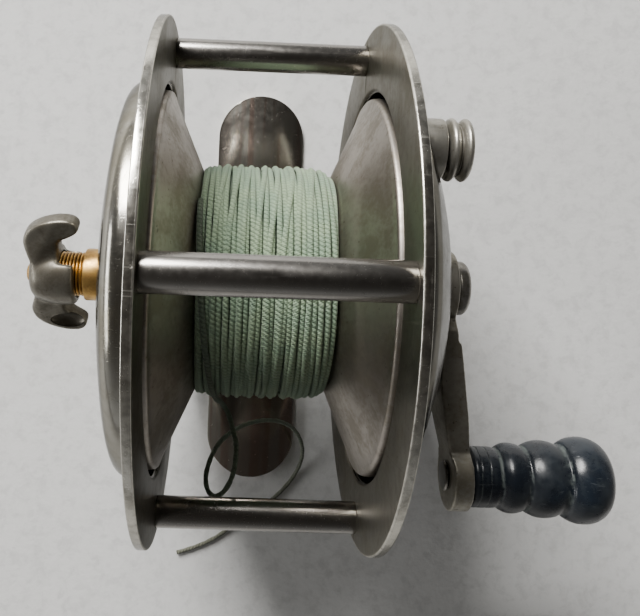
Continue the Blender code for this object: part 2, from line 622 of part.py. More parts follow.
blank += [(-0.70144 * THROW, neck + 0.0003), (-0.50360 * THROW, neck),
          (-0.30576 * THROW, neck + 0.0004)]
plan_solid = outline_solid(blank, 0.012, "X", ARM_X0 - 0.0045)
combine(arm, plan_solid, "INTERSECT", "cut_arm_plan")
bevel(arm, 0.0003, 1, 60.0)
cut(arm, rod(STUB_R + GAP, ARM_X0 - 0.0045, ARM_X0 + 0.0055, 0.0, 0.0, 20), "cut_arm_hub")
cut(arm, rod(SPINDLE_R + GAP, ARM_X0 - 0.0045, ARM_X0 + 0.0075, -THROW, 0.0, 16),
    "cut_arm_end")
keep(arm, "crank_arm", "nickel")

SCREW_X0 = ARM_X1 + GAP
SCREW_X1 = SCREW_X0 + 0.0020
crank_screw = turned([
    (0.0, ARM_X0 - 0.0025), (0.0009, ARM_X0 - 0.0025), (0.0009, SCREW_X0), (0.00385, SCREW_X0),
    (0.00405, SCREW_X0 + 0.0002), (0.00405, SCREW_X1 - 0.0006), (0.0037, SCREW_X1 - 0.0002),
    (0.0030, SCREW_X1), (0.0, SCREW_X1)], 20, closed=False)
cut(crank_screw, box((0.0018, 0.0008, 0.0100), (SCREW_X1, 0.0, 0.0)), "cut_crank_slot")
keep(crank_screw, "crank_screw", "steel")

KNOB_X0 = ARM_X0 + 0.0047
KNOB_X1 = KNOB_X0 + 0.0205
# (radius, distance from the inner end of the knob)
KNOB_OUTLINE = [
    (0.0040, 0.0), (0.00437, 0.0003), (0.00437, 0.0034), (0.0042, 0.0040), (0.00455, 0.0045),
    (0.00495, 0.0053), (0.00505, 0.0062), (0.0049, 0.0072), (0.0046, 0.0080), (0.00495, 0.0086),
    (0.0054, 0.0097), (0.00555, 0.0109), (0.0054, 0.0122), (0.00495, 0.0136), (0.0055, 0.0142),
    (0.00605, 0.0153), (0.00625, 0.0166), (0.0061, 0.0180), (0.00545, 0.0193), (0.0045, 0.0201),
    (0.0034, 0.0205)]
knob_outer = [(r, KNOB_X0 + x) for r, x in KNOB_OUTLINE]
KNOB_BORE = SPINDLE_R + RUN_GAP
KNOB_SINK = SPINDLE_R + 0.0014
knob_inner = [(KNOB_SINK, KNOB_X1), (KNOB_SINK, KNOB_X1 - 0.0017), (KNOB_BORE, KNOB_X1 - 0.0017),
              (KNOB_BORE, KNOB_X0)]
KNOB_MID = KNOB_X0 + 0.0098
knob = turned(knob_outer + knob_inner, 24, centre=(KNOB_MID, 0.0, 0.0))
knob.location = (KNOB_MID, -THROW, 0.0)
keep(knob, "knob", "knob_black")

spindle = turned([
    (0.0, ARM_X0 + 0.0010), (SPINDLE_R + 0.0005, ARM_X0 + 0.0010),
    (SPINDLE_R + 0.0007, ARM_X0 + 0.0013), (SPINDLE_R, ARM_X0 + 0.0013),
    (SPINDLE_R, KNOB_X1 - 0.0014), (SPINDLE_R + 0.0010, KNOB_X1 - 0.0014),
    (SPINDLE_R + 0.0011, KNOB_X1 - 0.0009), (SPINDLE_R + 0.0005, KNOB_X1 - 0.0004),
    (0.0, KNOB_X1 - 0.0002)], 16, closed=False)
spindle.location = (0.0, -THROW, 0.0)
keep(spindle, "knob_spindle", "steel")

# ------------------------------------------------------------ free line
# Hand-placed points the free end passes through, measured from the spool axis, from
# the wound line to the table.
TAIL_ROUTE = [
    (-0.0058, -0.0178, 0.0022), (-0.0053, -0.0185, 0.0012), (-0.0045, -0.0200, 0.0002),
    (-0.0039, -0.0220, -0.0006), (-0.0033, -0.0242, -0.0012), (-0.0032, -0.0264, -0.0017),
    (-0.0034, -0.0285, -0.0021), (-0.0040, -0.0305, -0.0024), (-0.0050, -0.0321, -0.0027),
    (-0.0062, -0.0328, -0.0034), (-0.0072, -0.0324, -0.0046), (-0.0077, -0.0310, -0.0062),
    (-0.0074, -0.0292, -0.0084), (-0.0065, -0.0274, -0.0112), (-0.0050, -0.0261, -0.0146),
    (-0.0028, -0.0252, -0.0186), (-0.0001, -0.0249, -0.0230), (0.0030, -0.0252, -0.0275),
    (0.0061, -0.0263, -0.0316), (0.0087, -0.0285, -0.0350), (0.0102, -0.0317, -0.0376),
    (0.0103, -0.0348, -0.0394), (0.0091, -0.0380, -0.0404), (0.0070, -0.0408, -0.0405),
    (0.0041, -0.0435, -0.0405), (0.0005, -0.0459, -0.0405), (-0.0030, -0.0484, -0.0405),
    (-0.0064, -0.0508, -0.0405), (-0.0099, -0.0525, -0.0405), (-0.0137, -0.0538, -0.0405)]


def fitted_route(route):
    """The start follows the wound line, the loop the front pillar, the end the foot."""
    out = []
    for i, (x, y, z) in enumerate(route):
        start = max(1.0 - i / 7.0, 0.0)
        end = min(max((i - 9) / 13.0, 0.0), 1.0)
        dy = start * (0.0172 - PACK_R) + (1.0 - start) * (0.03435 - PILLAR_RHO)
        out.append((x, y + dy, z + end * (FOOT_Z + 0.0410)))
    return out


def smooth_route(points, per_span):
    """Catmull-Rom points along a route."""
    pts = [Vector(p) for p in points]
    out = []
    for i in range(len(pts) - 1):
        p0 = pts[max(i - 1, 0)]
        p1 = pts[i]
        p2 = pts[i + 1]
        p3 = pts[min(i + 2, len(pts) - 1)]
        for k in range(per_span):
            t = k / per_span
            a = 2.0 * p1
            b = (p2 - p0) * t
            c = (2.0 * p0 - 5.0 * p1 + 4.0 * p2 - p3) * t * t
            d = (3.0 * p1 - p0 - 3.0 * p2 + p3) * t * t * t
            out.append(0.5 * (a + b + c + d))
    out.append(pts[-1])
    return out


def even_points(points, spacing):
    """The same route with points a set distance apart."""
    fine = smooth_route(points, 24)
    out = [fine[0].copy()]
    walked = 0.0
    for i in range(1, len(fine)):
        step = (fine[i] - fine[i - 1]).length
        walked += step
        if walked >= spacing:
            out.append(fine[i].copy())
            walked = 0.0
    if (out[-1] - fine[-1]).length > spacing * 0.3:
        out.append(fine[-1].copy())
    return out


tail_pts = even_points(fitted_route(TAIL_ROUTE), 0.0024)
curve = bpy.data.curves.new("line_tail", "CURVE")
curve.dimensions = "3D"
curve.bevel_depth = LINE_R
curve.bevel_resolution = 2
curve.use_fill_caps = True
spline = curve.splines.new("POLY")
spline.points.add(len(tail_pts) - 1)
for i, p in enumerate(tail_pts):
    spline.points[i].co = (p.x, p.y, p.z, 1.0)
tail_curve = bpy.data.objects.new("tail_curve", curve)
bpy.context.scene.collection.objects.link(tail_curve)
depsgraph = bpy.context.evaluated_depsgraph_get()
tail_mesh = bpy.data.meshes.new_from_object(tail_curve.evaluated_get(depsgraph))
tail = bpy.data.objects.new("line_tail", tail_mesh)
bpy.context.scene.collection.objects.link(tail)
bpy.data.objects.remove(tail_curve, do_unlink=True)
bm = bmesh.new()
bm.from_mesh(tail.data)
bmesh.ops.remove_doubles(bm, verts=bm.verts, dist=1e-7)
bmesh.ops.recalc_face_normals(bm, faces=bm.faces)
bm.to_mesh(tail.data)
bm.free()
keep(tail, "line_tail", "line_green")

# ------------------------------------------------------------ put the foot on the origin
LIFT = Matrix.Translation((0.0, 0.0, -FOOT_Z))
for coll in (PARTS, CUTS):
    for obj in coll.objects:
        obj.matrix_world = LIFT @ obj.matrix_world
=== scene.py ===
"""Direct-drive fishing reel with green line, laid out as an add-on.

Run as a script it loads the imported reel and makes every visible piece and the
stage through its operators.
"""

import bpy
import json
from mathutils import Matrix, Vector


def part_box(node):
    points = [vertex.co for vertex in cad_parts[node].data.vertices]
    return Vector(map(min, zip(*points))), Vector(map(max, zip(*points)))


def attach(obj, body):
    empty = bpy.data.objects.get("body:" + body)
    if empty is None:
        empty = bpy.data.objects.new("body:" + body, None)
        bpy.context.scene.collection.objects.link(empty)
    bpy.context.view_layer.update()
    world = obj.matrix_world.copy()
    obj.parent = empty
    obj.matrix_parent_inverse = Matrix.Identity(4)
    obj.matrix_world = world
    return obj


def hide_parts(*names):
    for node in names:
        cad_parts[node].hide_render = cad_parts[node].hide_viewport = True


bl_info = {
    "name": "Fishing Reel Workshop",
    "version": (1, 0, 0),
    "blender": (4, 5, 0),
    "location": "3D View > Sidebar > Reel",
    "description": "Makes a direct-drive fishing reel, its finishes and its stage",
    "category": "Object",
}

import json
import math

import bmesh
import bpy
import numpy as np
from mathutils import Matrix, Vector, noise

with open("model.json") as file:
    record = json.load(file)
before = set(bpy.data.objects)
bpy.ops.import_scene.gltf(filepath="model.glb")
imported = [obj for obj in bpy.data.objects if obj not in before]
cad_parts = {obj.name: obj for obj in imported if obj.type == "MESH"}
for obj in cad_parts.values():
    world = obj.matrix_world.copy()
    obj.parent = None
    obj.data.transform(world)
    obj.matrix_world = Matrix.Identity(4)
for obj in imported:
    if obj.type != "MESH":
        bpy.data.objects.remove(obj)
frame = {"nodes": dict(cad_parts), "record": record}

RECORD = frame["record"]
JOINTS = {j["name"]: j for j in RECORD["behaviour"]["joints"]}
SPOOL_Z = JOINTS["spool_spin"]["pos_m"][2]
KNOB_Y = JOINTS["knob_spin"]["pos_m"][1]
CLICK_AT = Vector(JOINTS["click_turn"]["pos_m"])
AXIS = Vector((0.0, 0.0, SPOOL_Z))
SPOOL_CENTRE = (0.0, SPOOL_Z)

LEFT_TOP = 0.0084  # height of each plate's dish over the plate's inner face
RIGHT_TOP = 0.0106
DISH_INSET = 0.0096  # plate's edge to its dish
PILLAR_INSET = 0.00365  # plate's edge to a pillar's middle
CONE_INSET = 0.0094  # plate's inner face to the flat middle of a flange
CONE_START = 0.006  # where a flange's slope starts
ARM_RISE = 0.0013  # dish to the crank arm's inner face
THREAD_R = 0.0033  # brass thread of the drag boss


def half_height(node):
    low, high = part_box(node)
    return (high[2] - low[2]) / 2.0


PLATE_LOW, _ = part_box("right_side_plate")
FOOT_LOW, FOOT_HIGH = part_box("reel_foot")
PILLAR_LOW, PILLAR_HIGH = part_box("pillar_near")


# ------------------------------------------------------------ settings
class ReelSizes(bpy.types.PropertyGroup):
    """Sizes of the reel's pieces."""

    plate_radius: bpy.props.FloatProperty(
        name="Side plate radius", description="Outer radius of both side plates",
        default=half_height("right_side_plate"), min=0.01, unit="LENGTH", subtype="DISTANCE")
    half_gap: bpy.props.FloatProperty(
        name="Half gap", description="Middle of the reel to the inner face of a plate",
        default=PLATE_LOW[0], min=0.005, unit="LENGTH", subtype="DISTANCE")
    sheet: bpy.props.FloatProperty(
        name="Sheet thickness", description="Thickness of the side plates",
        default=0.0007, min=0.0002, unit="LENGTH", subtype="DISTANCE")
    flange_radius: bpy.props.FloatProperty(
        name="Flange radius", description="Outer radius of the spool flanges",
        default=half_height("right_flange"), min=0.01, unit="LENGTH", subtype="DISTANCE")
    pillar_radius: bpy.props.FloatProperty(
        name="Pillar radius", description="Radius of the four pillars",
        default=(PILLAR_HIGH[1] - PILLAR_LOW[1]) / 2.0, min=0.0005, unit="LENGTH",
        subtype="DISTANCE")
    foot_length: bpy.props.FloatProperty(
        name="Foot length", description="Length of the foot along Y",
        default=FOOT_HIGH[1] - FOOT_LOW[1], min=0.02, unit="LENGTH", subtype="DISTANCE")
    foot_width: bpy.props.FloatProperty(
        name="Foot width", description="Width of the foot along X",
        default=FOOT_HIGH[0] - FOOT_LOW[0], min=0.005, unit="LENGTH", subtype="DISTANCE")
    pack_radius: bpy.props.FloatProperty(
        name="Wound line radius", description="Outer radius of the wound line",
        default=half_height("line_pack"), min=0.005, unit="LENGTH", subtype="DISTANCE")
    line_diameter: bpy.props.FloatProperty(
        name="Line diameter", description="Diameter of the line",
        default=0.0008, min=0.0003, unit="LENGTH", subtype="DISTANCE")
    line_turns: bpy.props.IntProperty(
        name="Turns in the top layer", description="Turns of line across the spool",
        default=24, min=6, max=60)


class ReelColours(bpy.types.PropertyGroup):
    """Colours of the reel's finishes."""

    nickel: bpy.props.FloatVectorProperty(
        name="Nickel", description="Nickel plate where it is clean",
        default=(0.375, 0.362, 0.325), size=3, min=0.0, max=1.0, subtype="COLOR")
    tarnish: bpy.props.FloatVectorProperty(
        name="Tarnish", description="Warm film over the nickel",
        default=(0.24, 0.222, 0.175), size=3, min=0.0, max=1.0, subtype="COLOR")
    steel: bpy.props.FloatVectorProperty(
        name="Steel", description="Pillars, screws and shafts",
        default=(0.325, 0.31, 0.29), size=3, min=0.0, max=1.0, subtype="COLOR")
    brass: bpy.props.FloatVectorProperty(
        name="Brass", description="Drag boss and bearings",
        default=(0.70, 0.47, 0.18), size=3, min=0.0, max=1.0, subtype="COLOR")
    handle: bpy.props.FloatVectorProperty(
        name="Knob", description="Blue-black knob",
        default=(0.0080, 0.0105, 0.0150), size=3, min=0.0, max=1.0, subtype="COLOR")
    line: bpy.props.FloatVectorProperty(
        name="Line", description="Sage green line",
        default=(0.268, 0.365, 0.238), size=3, min=0.0, max=1.0, subtype="COLOR")
    # Painted shade in the grooves between the plies of the line; the same colour also gives the
    # dark fibres.
    ply_shade_and_dark_fibres: bpy.props.FloatVectorProperty(
        name="Line shade", description="Dark fibres between the plies of the line",
        default=(0.072, 0.115, 0.07), size=3, min=0.0, max=1.0, subtype="COLOR")
    floor: bpy.props.FloatVectorProperty(
        name="Floor", description="Pale floor",
        default=(0.66, 0.66, 0.65), size=3, min=0.0, max=1.0, subtype="COLOR")


# ------------------------------------------------------------ making meshes
def rounded(points, radius, steps=3, closed=True):
    """Rounds the corners of a profile. A point may hold its own corner radius."""
    flat = [Vector((p[0], p[1])) for p in points]
    out = []
    count = len(flat)
    for i, corner in enumerate(flat):
        own = points[i][2] if len(points[i]) > 2 else radius
        if own < 1e-6 or (not closed and i in (0, count - 1)):
            out.append((corner.x, corner.y))
            continue
        before = flat[i - 1] - corner
        after = flat[(i + 1) % count] - corner
        reach = min(own, before.length * 0.45, after.length * 0.45)
        if reach < 1e-6:
            out.append((corner.x, corner.y))
            continue
        start = corner + before * (reach / before.length)
        end = corner + after * (reach / after.length)
        for k in range(steps + 1):
            t = k / steps
            spot = start * (1 - t) ** 2 + corner * (2 * t * (1 - t)) + end * (t * t)
            out.append((spot.x, spot.y))
    return out


def flowing(points, per_span):
    """Smooth curve through the points of a profile or a route."""
    pts = [Vector(p) for p in points]
    out = []
    for i in range(len(pts) - 1):
        p0 = pts[max(i - 1, 0)]
        p1 = pts[i]
        p2 = pts[i + 1]
        p3 = pts[min(i + 2, len(pts) - 1)]
        for k in range(per_span):
            t = k / per_span
            out.append(0.5 * (2.0 * p1 + (p2 - p0) * t
                              + (2.0 * p0 - 5.0 * p1 + 4.0 * p2 - p3) * t * t
                              + (3.0 * p1 - p0 - 3.0 * p2 + p3) * t * t * t))
    out.append(pts[-1])
    return out


def turned_on_lathe(points, steps=128, closed=True, centre=(0.0, 0.0)):
    """Spins a profile of (radius, x) about an axis along X through (y, z)."""
    bm = bmesh.new()
    verts = [bm.verts.new((x, 0.0, r)) for r, x in points]
    edges = [bm.edges.new((verts[i], verts[i + 1])) for i in range(len(verts) - 1)]
    if closed:
        edges.append(bm.edges.new((verts[-1], verts[0])))
    bmesh.ops.spin(bm, geom=verts + edges, cent=(0.0, 0.0, 0.0), axis=(1.0, 0.0, 0.0),
                   dvec=(0.0, 0.0, 0.0), angle=math.tau, steps=steps, use_merge=True,
                   use_duplicate=False)
    bmesh.ops.remove_doubles(bm, verts=bm.verts, dist=1e-7)
    bmesh.ops.recalc_face_normals(bm, faces=bm.faces)
    bmesh.ops.translate(bm, verts=bm.verts, vec=(0.0, centre[0], centre[1]))
    return bm


def turned(points, corner, rounds, steps, centre=SPOOL_CENTRE, closed=True, side=1.0):
    """Rounds a profile of (radius, x, corner), puts it on its side of the reel and spins it."""
    profile = [(r, side * x) for r, x in rounded(points, corner, rounds, closed)]
    return turned_on_lathe(profile, steps, closed, centre)


def slab(points, place, depth):
    """Extrudes a flat outline. `place` maps (a, b, height) to a point."""
    bm = bmesh.new()
    verts = [bm.verts.new(place(a, b, 0.0)) for a, b in points]
    face = bm.faces.new(verts)
    grown = bmesh.ops.extrude_face_region(bm, geom=[face])
    moved = [g for g in grown["geom"] if isinstance(g, bmesh.types.BMVert)]
    step = Vector(place(0.0, 0.0, depth)) - Vector(place(0.0, 0.0, 0.0))
    bmesh.ops.translate(bm, verts=moved, vec=step)
    bmesh.ops.recalc_face_normals(bm, faces=bm.faces)
    return bm


def bar(radius, start, end, segments=48):
    """Round bar between two points, for cutting."""
    start, end = Vector(start), Vector(end)
    bm = bmesh.new()
    bmesh.ops.create_cone(bm, cap_ends=True, segments=segments, radius1=radius,
                          radius2=radius, depth=(end - start).length)
    turn = (end - start).to_track_quat("Z", "Y").to_matrix().to_4x4()
    bmesh.ops.transform(bm, matrix=Matrix.Translation((start + end) / 2.0) @ turn,
                        verts=bm.verts)
    return bm


def block(size, centre, turn=None):
    """Square block, for cutting slots."""
    bm = bmesh.new()
    bmesh.ops.create_cube(bm, size=1.0)
    bmesh.ops.scale(bm, vec=size, verts=bm.verts)
    if turn is not None:
        bmesh.ops.rotate(bm, cent=(0, 0, 0), matrix=turn, verts=bm.verts)
    bmesh.ops.translate(bm, verts=bm.verts, vec=centre)
    return bm


def loose_object(bm, name):
    mesh = bpy.data.meshes.new(name)
    bm.to_mesh(mesh)
    bm.free()
    obj = bpy.data.objects.new(name, mesh)
    bpy.context.scene.collection.objects.link(obj)
    return obj


def settled(obj):
    """Applies an object's modifiers and gives its mesh as a bmesh."""
    depsgraph = bpy.context.evaluated_depsgraph_get()
    mesh = bpy.data.meshes.new_from_object(obj.evaluated_get(depsgraph))
    bm = bmesh.new()
    bm.from_mesh(mesh)
    bpy.data.meshes.remove(mesh)
    bpy.data.objects.remove(obj, do_unlink=True)
    return bm


def carved(bm, tools, operation="DIFFERENCE"):
    """Cuts tools out of a shape, adds them to it or keeps what they share."""
    obj = loose_object(bm, "blank")
    helpers = []
    for tool in tools:
        helper = loose_object(tool, "tool")
        mod = obj.modifiers.new("carve", "BOOLEAN")
        mod.operation = operation
        mod.solver = "EXACT"
        mod.object = helper
        helpers.append(helper)
    out = settled(obj)
    for helper in helpers:
        bpy.data.objects.remove(helper, do_unlink=True)
    return out


def softened(bm, voxel, rounds, strength=0.5):
    """Gives a forged or cast shape its soft edges."""
    obj = loose_object(bm, "blank")
    mod = obj.modifiers.new("soften", "REMESH")
    mod.mode = "VOXEL"
    mod.voxel_size = voxel
    mod.use_smooth_shade = True
    out = settled(obj)
    for _ in range(rounds):
        bmesh.ops.smooth_vert(out, verts=out.verts, factor=strength, use_axis_x=True,
                              use_axis_y=True, use_axis_z=True)
    bmesh.ops.recalc_face_normals(out, faces=out.faces)
    return out


def eased(bm, width, segments=3, sharper=30.0):
    """Bevels the sharp edges of a shape."""
    limit = math.radians(sharper)
    edges = [e for e in bm.edges if len(e.link_faces) == 2 and e.calc_face_angle(0.0) > limit]
    bmesh.ops.bevel(bm, geom=edges, offset=width, offset_type="OFFSET", segments=segments,
                    profile=0.5, affect="EDGES", material=-1, clamp_overlap=True)
    return bm


def mark_edges(mesh, rounds=2):
    """Stores how sharply the surface bends, for rubbed edges and darker concave corners."""
    count = len(mesh.vertices)
    place = np.empty(count * 3)
    mesh.vertices.foreach_get("co", place)
    place = place.reshape(-1, 3)
    normal = np.empty(count * 3)
    mesh.vertex_normals.foreach_get("vector", normal)
    normal = normal.reshape(-1, 3)
    pairs = np.empty(len(mesh.edges) * 2, dtype=np.int32)
    mesh.edges.foreach_get("vertices", pairs)
    a, b = pairs[::2], pairs[1::2]
    step = place[b] - place[a]
    length = np.maximum(np.linalg.norm(step, axis=1), 1e-7)
    bend = np.zeros(count)
    ends = np.zeros(count)
    scale = 1.0 / (length * length)
    np.add.at(bend, a, -(normal[a] * step).sum(1) * scale)
    np.add.at(bend, b, (normal[b] * step).sum(1) * scale)
    np.add.at(ends, a, 1.0)
    np.add.at(ends, b, 1.0)
    ends = np.maximum(ends, 1.0)
    bend = np.clip(bend / ends * 0.001, -6.0, 6.0)
    for _ in range(rounds):
        total = np.zeros(count)
        np.add.at(total, a, bend[b])
        np.add.at(total, b, bend[a])
        bend = 0.5 * bend + 0.5 * total / ends
    store = mesh.attributes.new("edge", "FLOAT", "POINT")
    store.data.foreach_set("value", bend.astype(np.float32))


def finished_piece(name, bm, material, body, nodes=(), angle=32.0):
    """Files a finished shape as a piece of the reel."""
    obj = loose_object(bm, name)
    mesh = obj.data
    mesh.materials.append(material)
    mesh.shade_smooth()
    mesh.set_sharp_from_angle(angle=math.radians(angle))
    mark_edges(mesh)
    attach(obj, body)
    if nodes:
        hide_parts(*nodes)
    return obj


# ------------------------------------------------------------ making finishes
def toned(colour, factor):
    """A colour made darker or lighter, by one factor or one for each channel."""
    factors = factor if isinstance(factor, tuple) else (factor,) * 3
    return tuple(min(1.0, value * k) for value, k in zip(colour, factors))


LATHE_LINES = 5200.0
PLY_LENGTH = 0.0013


class Finish:
    """One procedural material and its node tree."""

    def __init__(self, name, colour, metallic, roughness):
        self.material = bpy.data.materials.new(name)
        self.material.use_nodes = True
        self.nodes = self.material.node_tree.nodes
        self.links = self.material.node_tree.links
        self.shader = self.nodes["Principled BSDF"]
        self.shader.inputs["Base Color"].default_value = (*colour, 1.0)
        self.shader.inputs["Metallic"].default_value = metallic
        self.shader.inputs["Roughness"].default_value = roughness
        self.material.diffuse_color = (*colour, 1.0)
        self.where = self.nodes.new("ShaderNodeTexCoord").outputs["Object"]

    def put(self, value, socket):
        if isinstance(value, bpy.types.NodeSocket):
            self.links.new(value, socket)
        else:
            socket.default_value = value

    def sum(self, operation, a, b=0.0):
        node = self.nodes.new("ShaderNodeMath")
        node.operation = operation
        for value, socket in zip((a, b), node.inputs):
            self.put(value, socket)
        return node.outputs[0]

    def plus(self, a, b):
        return self.sum("ADD", a, b)

    def minus(self, a, b):
        return self.sum("SUBTRACT", a, b)

    def times(self, a, b):
        return self.sum("MULTIPLY", a, b)

    def total(self, *terms):
        """Adds up terms, each a value and its weight."""
        parts = [self.times(value, weight) for value, weight in terms]
        out = parts[0]
        for part in parts[1:]:
            out = self.plus(out, part)
        return out

    def coats(self, colour, *coats):
        """Lays coats over a colour, each a mask, its strength and a colour."""
        for mask, strength, coat in coats:
            colour = self.blend(self.times(mask, strength), colour, coat)
        return colour

    def joined(self, *parts):
        node = self.nodes.new("ShaderNodeCombineXYZ")
        for part, socket in zip(parts, node.inputs):
            self.links.new(part, socket)
        return node.outputs[0]

    def complete(self, tone, relief, rough=None):
        """Joins the patterns to the shader and gives the material."""
        self.put(tone, self.shader.inputs["Base Color"])
        self.put(relief, self.shader.inputs["Normal"])
        if rough is not None:
            self.put(rough, self.shader.inputs["Roughness"])
        return self.material

    def apart(self, vector):
        """The three parts of a vector."""
        node = self.nodes.new("ShaderNodeSeparateXYZ")
        self.links.new(vector, node.inputs[0])
        return node.outputs

    def vector(self, operation, a, b):
        node = self.nodes.new("ShaderNodeVectorMath")
        node.operation = operation
        self.put(a, node.inputs[0])
        self.put(b, node.inputs[1])
        return node.outputs[0]

    def mapped(self, source, scale=(1.0, 1.0, 1.0), turn=(0.0, 0.0, 0.0), move=(0.0, 0.0, 0.0)):
        node = self.nodes.new("ShaderNodeMapping")
        self.put(source, node.inputs["Vector"])
        node.inputs["Location"].default_value = move
        node.inputs["Rotation"].default_value = turn
        node.inputs["Scale"].default_value = scale
        return node.outputs[0]

    def noise(self, source, scale, detail=3.0, rough=0.5, twist=0.0):
        node = self.nodes.new("ShaderNodeTexNoise")
        self.put(source, node.inputs["Vector"])
        node.inputs["Scale"].default_value = scale
        node.inputs["Detail"].default_value = detail
        node.inputs["Roughness"].default_value = rough
        node.inputs["Distortion"].default_value = twist
        return node.outputs["Fac"]

    def cells(self, source, scale):
        node = self.nodes.new("ShaderNodeTexVoronoi")
        self.put(source, node.inputs["Vector"])
        node.inputs["Scale"].default_value = scale
        return node.outputs["Distance"]

    def band(self, value, low, high, first=0.0, last=1.0):
        node = self.nodes.new("ShaderNodeMapRange")
        node.interpolation_type = "SMOOTHSTEP"
        node.clamp = True
        self.put(value, node.inputs["Value"])
        node.inputs["From Min"].default_value = low
        node.inputs["From Max"].default_value = high
        node.inputs["To Min"].default_value = first
        node.inputs["To Max"].default_value = last
        return node.outputs["Result"]

    def blend(self, amount, a, b):
        node = self.nodes.new("ShaderNodeMix")
        node.data_type = "RGBA"
        node.clamp_factor = True
        sockets = {socket.identifier: socket for socket in node.inputs}
        self.put(amount, sockets["Factor_Float"])
        self.put((*a, 1.0) if isinstance(a, tuple) else a, sockets["A_Color"])
        self.put((*b, 1.0) if isinstance(b, tuple) else b, sockets["B_Color"])
        return next(s for s in node.outputs if s.type == "RGBA")

    def stored(self, name, part="Fac"):
        node = self.nodes.new("ShaderNodeAttribute")
        node.attribute_name = name
        return node.outputs[part]

    def relief(self, height, distance, strength):
        node = self.nodes.new("ShaderNodeBump")
        node.inputs["Strength"].default_value = strength
        node.inputs["Distance"].default_value = distance
        self.put(height, node.inputs["Height"])
        return node.outputs[0]

    def around(self, centre):
        """Coordinates that run round the X axis through `centre`, for lathe marks."""
        spot = self.vector("SUBTRACT", self.where, tuple(centre))
        x, y, z = self.apart(spot)
        radius = self.sum("SQRT", self.plus(self.times(y, y), self.times(z, z)))
        safe = self.sum("MAXIMUM", radius, 0.0001)
        run = self.plus(radius, self.times(x, 0.83))
        return self.joined(self.sum("DIVIDE", y, safe), self.sum("DIVIDE", z, safe),
                           self.times(run, LATHE_LINES)), radius


def plated_metal(name, roughness, lathe, film_amount, hairlines, pits, seed, film_size,
                 clean, film, centre=AXIS, grime=(0.035, 0.028, 0.018), face=0.0, rim=0.0,
                 painted_reflection_streaks=None, metallic=1.0, grazing=1.0):
    """Worn plate: warm film in clouds, lathe marks, hairline scratches, pits, rubbed edges.

    `face` is where a plate's inner face lies along X, for painted shade on the inner faces and a
    painted dark reflection on the right plate's outside; `rim` is the radius of the plate's edge,
    which gets a painted highlight.
    """
    f = Finish(name, clean, metallic, roughness)
    f.shader.inputs["Specular Tint"].default_value = (grazing, grazing, grazing, 1.0)
    f.shader.inputs["Anisotropic"].default_value = 0.25 if lathe > 0 else 0.0
    spot = f.vector("ADD", f.vector("SUBTRACT", f.where, tuple(centre)),
                    (seed, seed * 0.7, seed * 1.3))
    clouds = f.noise(spot, film_size, 5.0, 0.62, 0.4)
    small_clouds = f.noise(spot, film_size * 7.0, 4.0, 0.6)
    film_mask = f.times(f.band(f.total((clouds, 0.72), (small_clouds, 0.28)), 0.40, 0.62),
                        film_amount)
    circling, radius = f.around(centre)
    marks = f.noise(circling, 1.0, 4.0, 0.65)
    fine = f.noise(circling, 3.7, 2.0, 0.6)
    scratch = 0.0
    for stretch, turn, low, high in (
            ((55.0, 3600.0, 3600.0), (0.3, 0.9, 0.5), 0.66, 0.72),
            ((3900.0, 70.0, 3900.0), (1.1, 0.2, -0.7), 0.67, 0.73),
            ((3300.0, 3300.0, 60.0), (0.8, -0.5, 0.2), 0.68, 0.74)):
        hair = f.noise(f.mapped(spot, stretch, turn), 1.0, 2.0, 0.5)
        scratch = f.sum("MAXIMUM", scratch, f.band(hair, low, high))
    scratch = f.times(scratch, hairlines)
    speck = f.times(f.band(f.noise(spot, 1500.0, 2.0, 0.5), 0.69, 0.75), pits)
    blot = f.times(f.band(f.noise(spot, 420.0, 3.0, 0.6), 0.66, 0.74), pits * 0.55)
    edge = f.stored("edge")
    rubbed = f.band(edge, 0.35, 1.6)
    # Darker in concave corners, with the same dark colour as the pits.
    corner = f.times(f.band(edge, -0.18, -1.3), 0.8)
    colour = f.coats(clean, (film_mask, 1.0, film), (f.band(marks, 0.35, 0.65), 0.10, film),
                     (rubbed, 0.55, toned(clean, 1.5)),
                     (f.sum("MAXIMUM", speck, blot), 1.0, grime), (corner, 1.0, grime))
    # Inner faces: rougher, and their colour darkened as painted shade between the plates.
    shaded_dull_inside = 0.0
    if face:
        along = f.apart(f.where)[0]
        shaded_dull_inside = f.band(f.sum("ABSOLUTE", along), face + 0.00035, face + 0.00010)
        # Painted shade on the inner faces; past the right plate's inner face its outside is
        # darkened to 30 % of the clean nickel as a painted dark reflection.
        colour = f.coats(colour, (shaded_dull_inside, 0.40, toned(film, 0.60)),
                         (f.band(along, face + 0.0003, face + 0.0007), 0.62, toned(clean, 0.30)))
    # Painted highlight along the plate's edge, broken up by the small clouds.
    if rim:
        painted_rim_highlight = f.times(f.band(radius, rim - 0.00040, rim - 0.00015),
                       f.band(small_clouds, 0.30, 0.60, 0.45, 1.0))
        colour = f.blend(painted_rim_highlight, colour, toned(clean, 1.9))
    # Painted reflection: lengthwise brown streaks on the foot.
    if painted_reflection_streaks:
        grain = f.noise(f.mapped(f.where, (430.0, 16.0, 60.0)), 1.0, 4.0, 0.6)
        wide = f.noise(f.mapped(f.where, (150.0, 14.0, 60.0), move=(0.37, 0.0, 0.0)), 1.0, 2.0)
        colour = f.coats(colour, (f.band(grain, 0.50, 0.64), 0.50, painted_reflection_streaks),
                         (f.band(wide, 0.50, 0.60), 0.35, toned(painted_reflection_streaks, 0.45)))
    rough = f.total((roughness, 1.0), (film_mask, 0.08), (shaded_dull_inside, 0.17),
                    (f.minus(small_clouds, 0.5), 0.12), (scratch, 0.12),
                    (f.sum("MAXIMUM", speck, corner), 0.35), (rubbed, -0.06))
    heights = f.total((marks, lathe), (fine, lathe * 0.5), (scratch, -0.8), (speck, -1.2),
                      (f.noise(spot, 260.0, 3.0), 0.5))
    return f.complete(colour, f.relief(heights, 0.000005, 0.6), f.sum("MAXIMUM", rough, 0.06))


